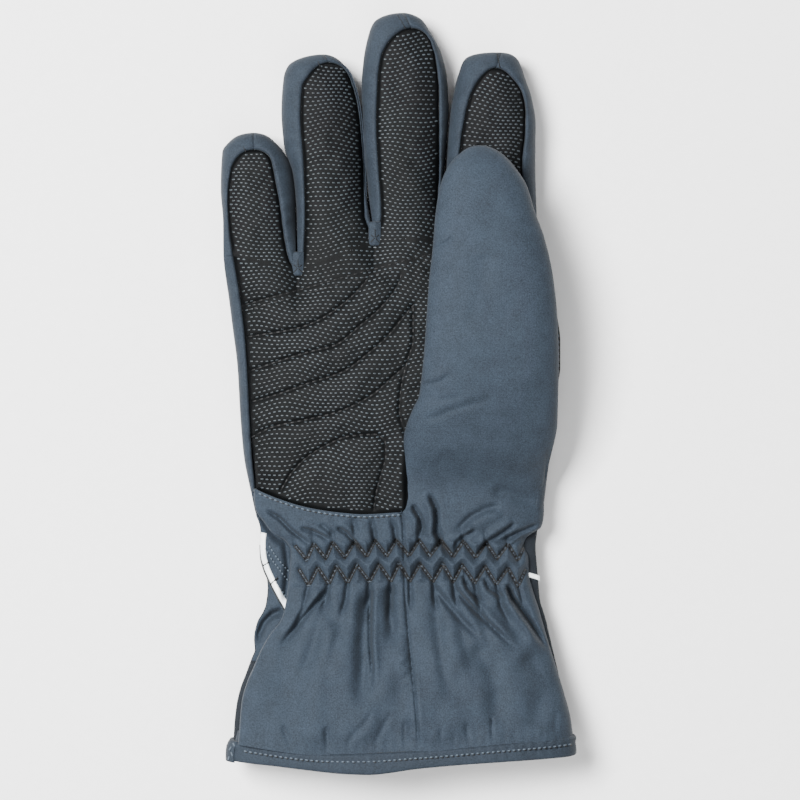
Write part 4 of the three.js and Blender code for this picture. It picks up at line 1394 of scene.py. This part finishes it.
def make_piping():
    """The white piping: its left end, its course under the wrist and its right end, with a dark edge."""
    left = band_points(PIPING_PATH, 2.5, 1.5, side_height)
    pieces = [
        sheet_object("reflective_piping_left", left, WHITE, flip=True, thickness=0.6),
        sheet_object("reflective_piping_back", back_piping_points(), WHITE, thickness=0.5),
        sheet_object("reflective_piping_right", right_piping_points(), WHITE, thickness=0.6),
    ]
    for obj in pieces:
        finish(obj, bend_wrist, "piping", "reflective_piping")
    edge = np.array(PIPING_PATH) + np.array([-1.0, -1.15])
    points = band_points(edge[1:], 0.8, 0.9, side_height, 7)
    cord = sheet_object("piping_edge", points, BLACK, flip=True, thickness=0.4)
    finish(cord, bend_wrist, "thread")
    ticks = [[(-50.6, -65.0), (-48.0, -63.4)], [(-47.7, -71.8), (-45.0, -69.4)]]
    stitches(bend_wrist, "piping_ticks", ticks, 1.0, (0.6, 0.26), side_height, 1.45, BLACK)
    return [*pieces, cord]


SIDE_STITCHES = [
    [(-49.6, -58.0), (-46.8, -62.6), (-43.4, -67.0), (-40.6, -70.8)],
    [(-48.0, -57.2), (-45.4, -61.2), (-42.6, -64.6), (-40.6, -67.0)],
    [(-48.6, -66.0), (-45.6, -70.4), (-42.8, -74.6), (-41.0, -77.4)],
]


def make_wrist_side():
    """The stitched slate panel between the piping and the front's left edge."""
    v = np.linspace(0, 1, 90)[:, None]
    u = np.linspace(0, 1, 30)[None, :]
    y = mix(-36.6, -100.0, v) + 0 * u
    x = mix(LEFT_EDGE(y) + 0.4, FRONT_LEFT(y) + 3.5, u)
    points = np.dstack([x, y, side_height(x, y) + 0.35])
    obj = sheet_object("wrist_side_panel", points, SHELL, flip=True, thickness=0.3)
    declare_cloth(points)
    finish(obj, bend_wrist, "shell")
    stitches(bend_wrist, "wrist_side_stitches", SIDE_STITCHES, 1.4, (0.5, 0.3), side_height, 0.95, STITCH)


def hem_row(angle, share, out):
    """One ring of the hem: share runs from its top edge to the mouth, out is how far it stands out."""
    y = np.full_like(angle, -134.0)
    for _ in range(3):
        low, high = LEFT_EDGE(y) - out, RIGHT_EDGE(y) + out
        x = (low + high) / 2 + (high - low) / 2 * np.cos(angle)
        y = mix(HEM_TOP(x), HEM_EDGE(x), share)
    half, middle = CUFF_HALF(y), CUFF_MIDDLE(y)
    inner = np.clip(between(x, low, high), -1, 1)
    up = np.sin(angle)
    pucker = 0.22 * np.sin(x * 1.7 + 2 * ripple(x, 0 * x, 8)) * (1 - share) + 0.4 * ripple(x, 0 * x, 11)
    top = middle + half * dome(inner, 2.8) + out * up + pucker * np.clip(up * 2, 0, 1)
    bottom = middle - (middle - 0.3) * dome(inner, 3.0) + out * up
    z = np.where(up >= 0, top, np.maximum(bottom, 0.05 - min(out, 0)))
    return np.column_stack([x, y, z])


# The hem's rings, from its top edge over the mouth to its inner end, as hem_row() takes them.
HEM_PROFILE = [
    (-0.1, -0.3), (-0.08, 0.2), (-0.05, 0.7), (0.02, 1.1), (0.12, 1.15), (0.3, 0.75), (0.5, 0.9),
    (0.75, 0.9), (0.9, 0.75), (0.98, 0.4), (1.0, -0.2), (0.99, -1.0), (0.9, -1.7), (0.6, -2.1),
    (0.2, -2.2), (-0.6, -2.3),
]


def make_hem(end):
    """A folded band round the cuff's mouth."""
    angle = np.linspace(0, 2 * np.pi, 320, endpoint=False)
    rows = np.array([hem_row(angle, share, out) for share, out in HEM_PROFILE])
    obj = sheet_object("cuff_hem_band", rows, SHADED_SLATE, loop=True, thickness=0.8)
    declare_cloth(rows, loop=True, with_pieces=[end])
    finish(obj, "cuff", "shell", "cuff_hem")


def make_hem_end():
    """The wrapped end at the hem's left side, with its uneven stitches."""
    angle = np.linspace(np.pi - 0.32, np.pi + 0.5, 30)
    shares = [-0.08, -0.02, 0.1, 0.3, 0.5, 0.7, 0.9, 1.0, 1.06]
    rows = np.array([hem_row(angle, share, 1.45 - 0.9 * abs(share - 0.5) ** 2) for share in shares])
    obj = sheet_object("hem_end_wrap", rows, SHADED_SLATE, thickness=0.6)
    finish(obj, "cuff", "shell")
    vertices, faces = [], []
    for turn, share, lean in ((0.30, 0.1, 0.5), (0.24, 0.34, -0.6), (0.29, 0.62, 0.4), (0.22, 0.86, -0.3)):
        x, y, z = hem_row(np.array([np.pi - turn]), share, 1.4)[0]
        place = (np.array([value]) for value in (x, y, 1.57 + lean))
        stitch, sides = pads(*place, 0.9, 0.28, lambda px, py: z + 0 * px, 0.35)
        faces += [[k + len(vertices) for k in face] for face in sides]
        vertices += stitch.tolist()
    finish(new_object("hem_end_stitches", vertices, faces, STITCH), "cuff", "thread")
    return obj


def make_threads():
    names = ("zigzag_thread_a", "zigzag_thread_b")
    for path, name, row in zip(ZIGZAGS, names, ("upper", "lower")):
        obj = stitches(bend_wrist, name, [path], 2.0, (0.8, 0.3), front_height, 0.42, ZIGZAG_STITCH)
        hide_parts(f"zigzag_thread_{row}", f"wrist_elastic_{row}")
        # A continuous row of dark pads under each zigzag thread: painted shade of the groove that the
        # thread pulls into the cloth.
        stitches(bend_wrist, name + "_painted_shade", [path], 0.9, (0.6, 0.7), front_height, 0.22, DARK_THREAD_AND_SHADE)


def hem_height(x, y):
    share = between(x, LEFT_EDGE(y) - 0.8, RIGHT_EDGE(y) + 0.8)
    return CUFF_MIDDLE(y) + CUFF_HALF(y) * dome(share, 2.8) + 0.75


def make_topstitch():
    """The topstitch of the hem and of the heel's seam, each with a row of dark pads set a little down and
    to the right of it: painted shadow of the stitches.
    """
    x = np.linspace(-57, 64, 200)
    hem = np.column_stack([x, mix(HEM_TOP(x), HEM_EDGE(x), 0.32)])
    for name, shift, rise, material in (
        ("hem_topstitch", 0, 0.3, STITCH),
        # dark pads offset down and to the right, away from the light: painted shadow of the hem's stitches
        ("hem_painted_shade", 0.35, 0.12, DARK_THREAD_AND_SHADE),
    ):
        row = hem + [shift, -shift]
        stitches("cuff", name, [row], 1.9, (0.55, 0.26), hem_height, rise, material)
    x = np.linspace(-52, 1.5, 90)
    for name, shift, rise, material in (
        ("heel_topstitch", 0, 0.25, STITCH),
        # dark pads offset down and to the right, away from the light: painted shadow of the heel's stitches
        ("heel_painted_shade", 0.7, 0.1, DARK_THREAD_AND_SHADE),
    ):
        row = np.column_stack([x + shift, HEEL_SEAM(x) - 0.9 - 0.6 * shift])
        stitches("hand", name, [row], 2.1, (0.6, 0.25), front_height, rise, material)


def make_lining():
    """The lining tube, wide at the mouth and flat and narrow inside the gathered wrist."""
    y = np.linspace(-133.5, -56.0, 70)[:, None]
    angle = np.linspace(0, 2 * np.pi, 80, endpoint=False)[None, :]
    inset = mix(1.3, 4.0, smoothstep(-134, -124, y))
    half, middle = CUFF_HALF(y), CUFF_MIDDLE(y)
    waist = smoothstep(-114, -100, y)
    low, high = LEFT_EDGE(y) + inset + 8 * waist, RIGHT_EDGE(y) - inset - 2 * waist
    x = (low + high) / 2 + (high - low) / 2 * np.cos(angle)
    roof = mix(-0.2 * half, half - inset - 0.8, smoothstep(-96, -116, y))
    tall = np.where(np.sin(angle) >= 0, roof, middle - inset)
    z = middle + tall * np.sign(np.sin(angle)) * np.abs(np.sin(angle)) ** 0.8
    points = np.dstack([x, np.broadcast_to(y, x.shape), z])
    obj = sheet_object("cuff_lining_tube", points, LINING, loop=True, thickness=-0.8)
    declare_cloth(points, loop=True)
    finish(obj, bend_wrist, "lining", "cuff_lining")


def make_webs():
    """The strips' meeting points between the fingers."""
    webs = []
    for (a, b), (x0, y0) in zip(zip(FINGERS[:-1], FINGERS[1:]), WEBS[1:-1]):
        u = np.linspace(-1, 1, 15)[None, :]
        v = np.linspace(0, 1, 12)[:, None]
        x = x0 + 1.6 * u + 0 * v
        y = y0 + 1.4 * u * u + 0.4 + 1.2 * np.sin(v * np.pi)
        z = mix(front(x0, y0) - 0.6, 3.0, v) + 0 * u
        obj = sheet_object(f"web_{a}_{b}", np.dstack([x, y, z]), SHADED_SLATE, flip=True, thickness=0.8)
        finish(obj, "hand", "shell", f"fourchette_{a}_{b}")
        webs.append(obj)
    return webs


def make_floor():
    size, drop = 1.5, -0.0003
    mesh = bpy.data.meshes.new("floor")
    corners = [(x * size, y * size, drop) for x, y in ((-1, -1), (1, -1), (1, 1), (-1, 1))]
    mesh.from_pydata(corners, [], [(0, 1, 2, 3)])
    mesh.materials.append(floor_material())
    floor = bpy.data.objects.new("floor", mesh)
    bpy.context.scene.collection.objects.link(floor)


make_camera()
make_lights()
make_floor()
make_palm()
for finger in FINGERS:
    make_finger_grip(finger)
    make_finger_borders(finger)
    make_finger_back(finger)
make_all_dashes()
make_quilt_stitches()
make_hand_sides()
make_hand_back([*make_webs(), *make_web_tabs(), make_side_seam()])
make_fingertip_seams()
make_thumb()
make_wrist_front()
make_cuff_back(make_piping())
make_wrist_side()
make_hem(make_hem_end())
make_threads()
make_topstitch()
make_lining()
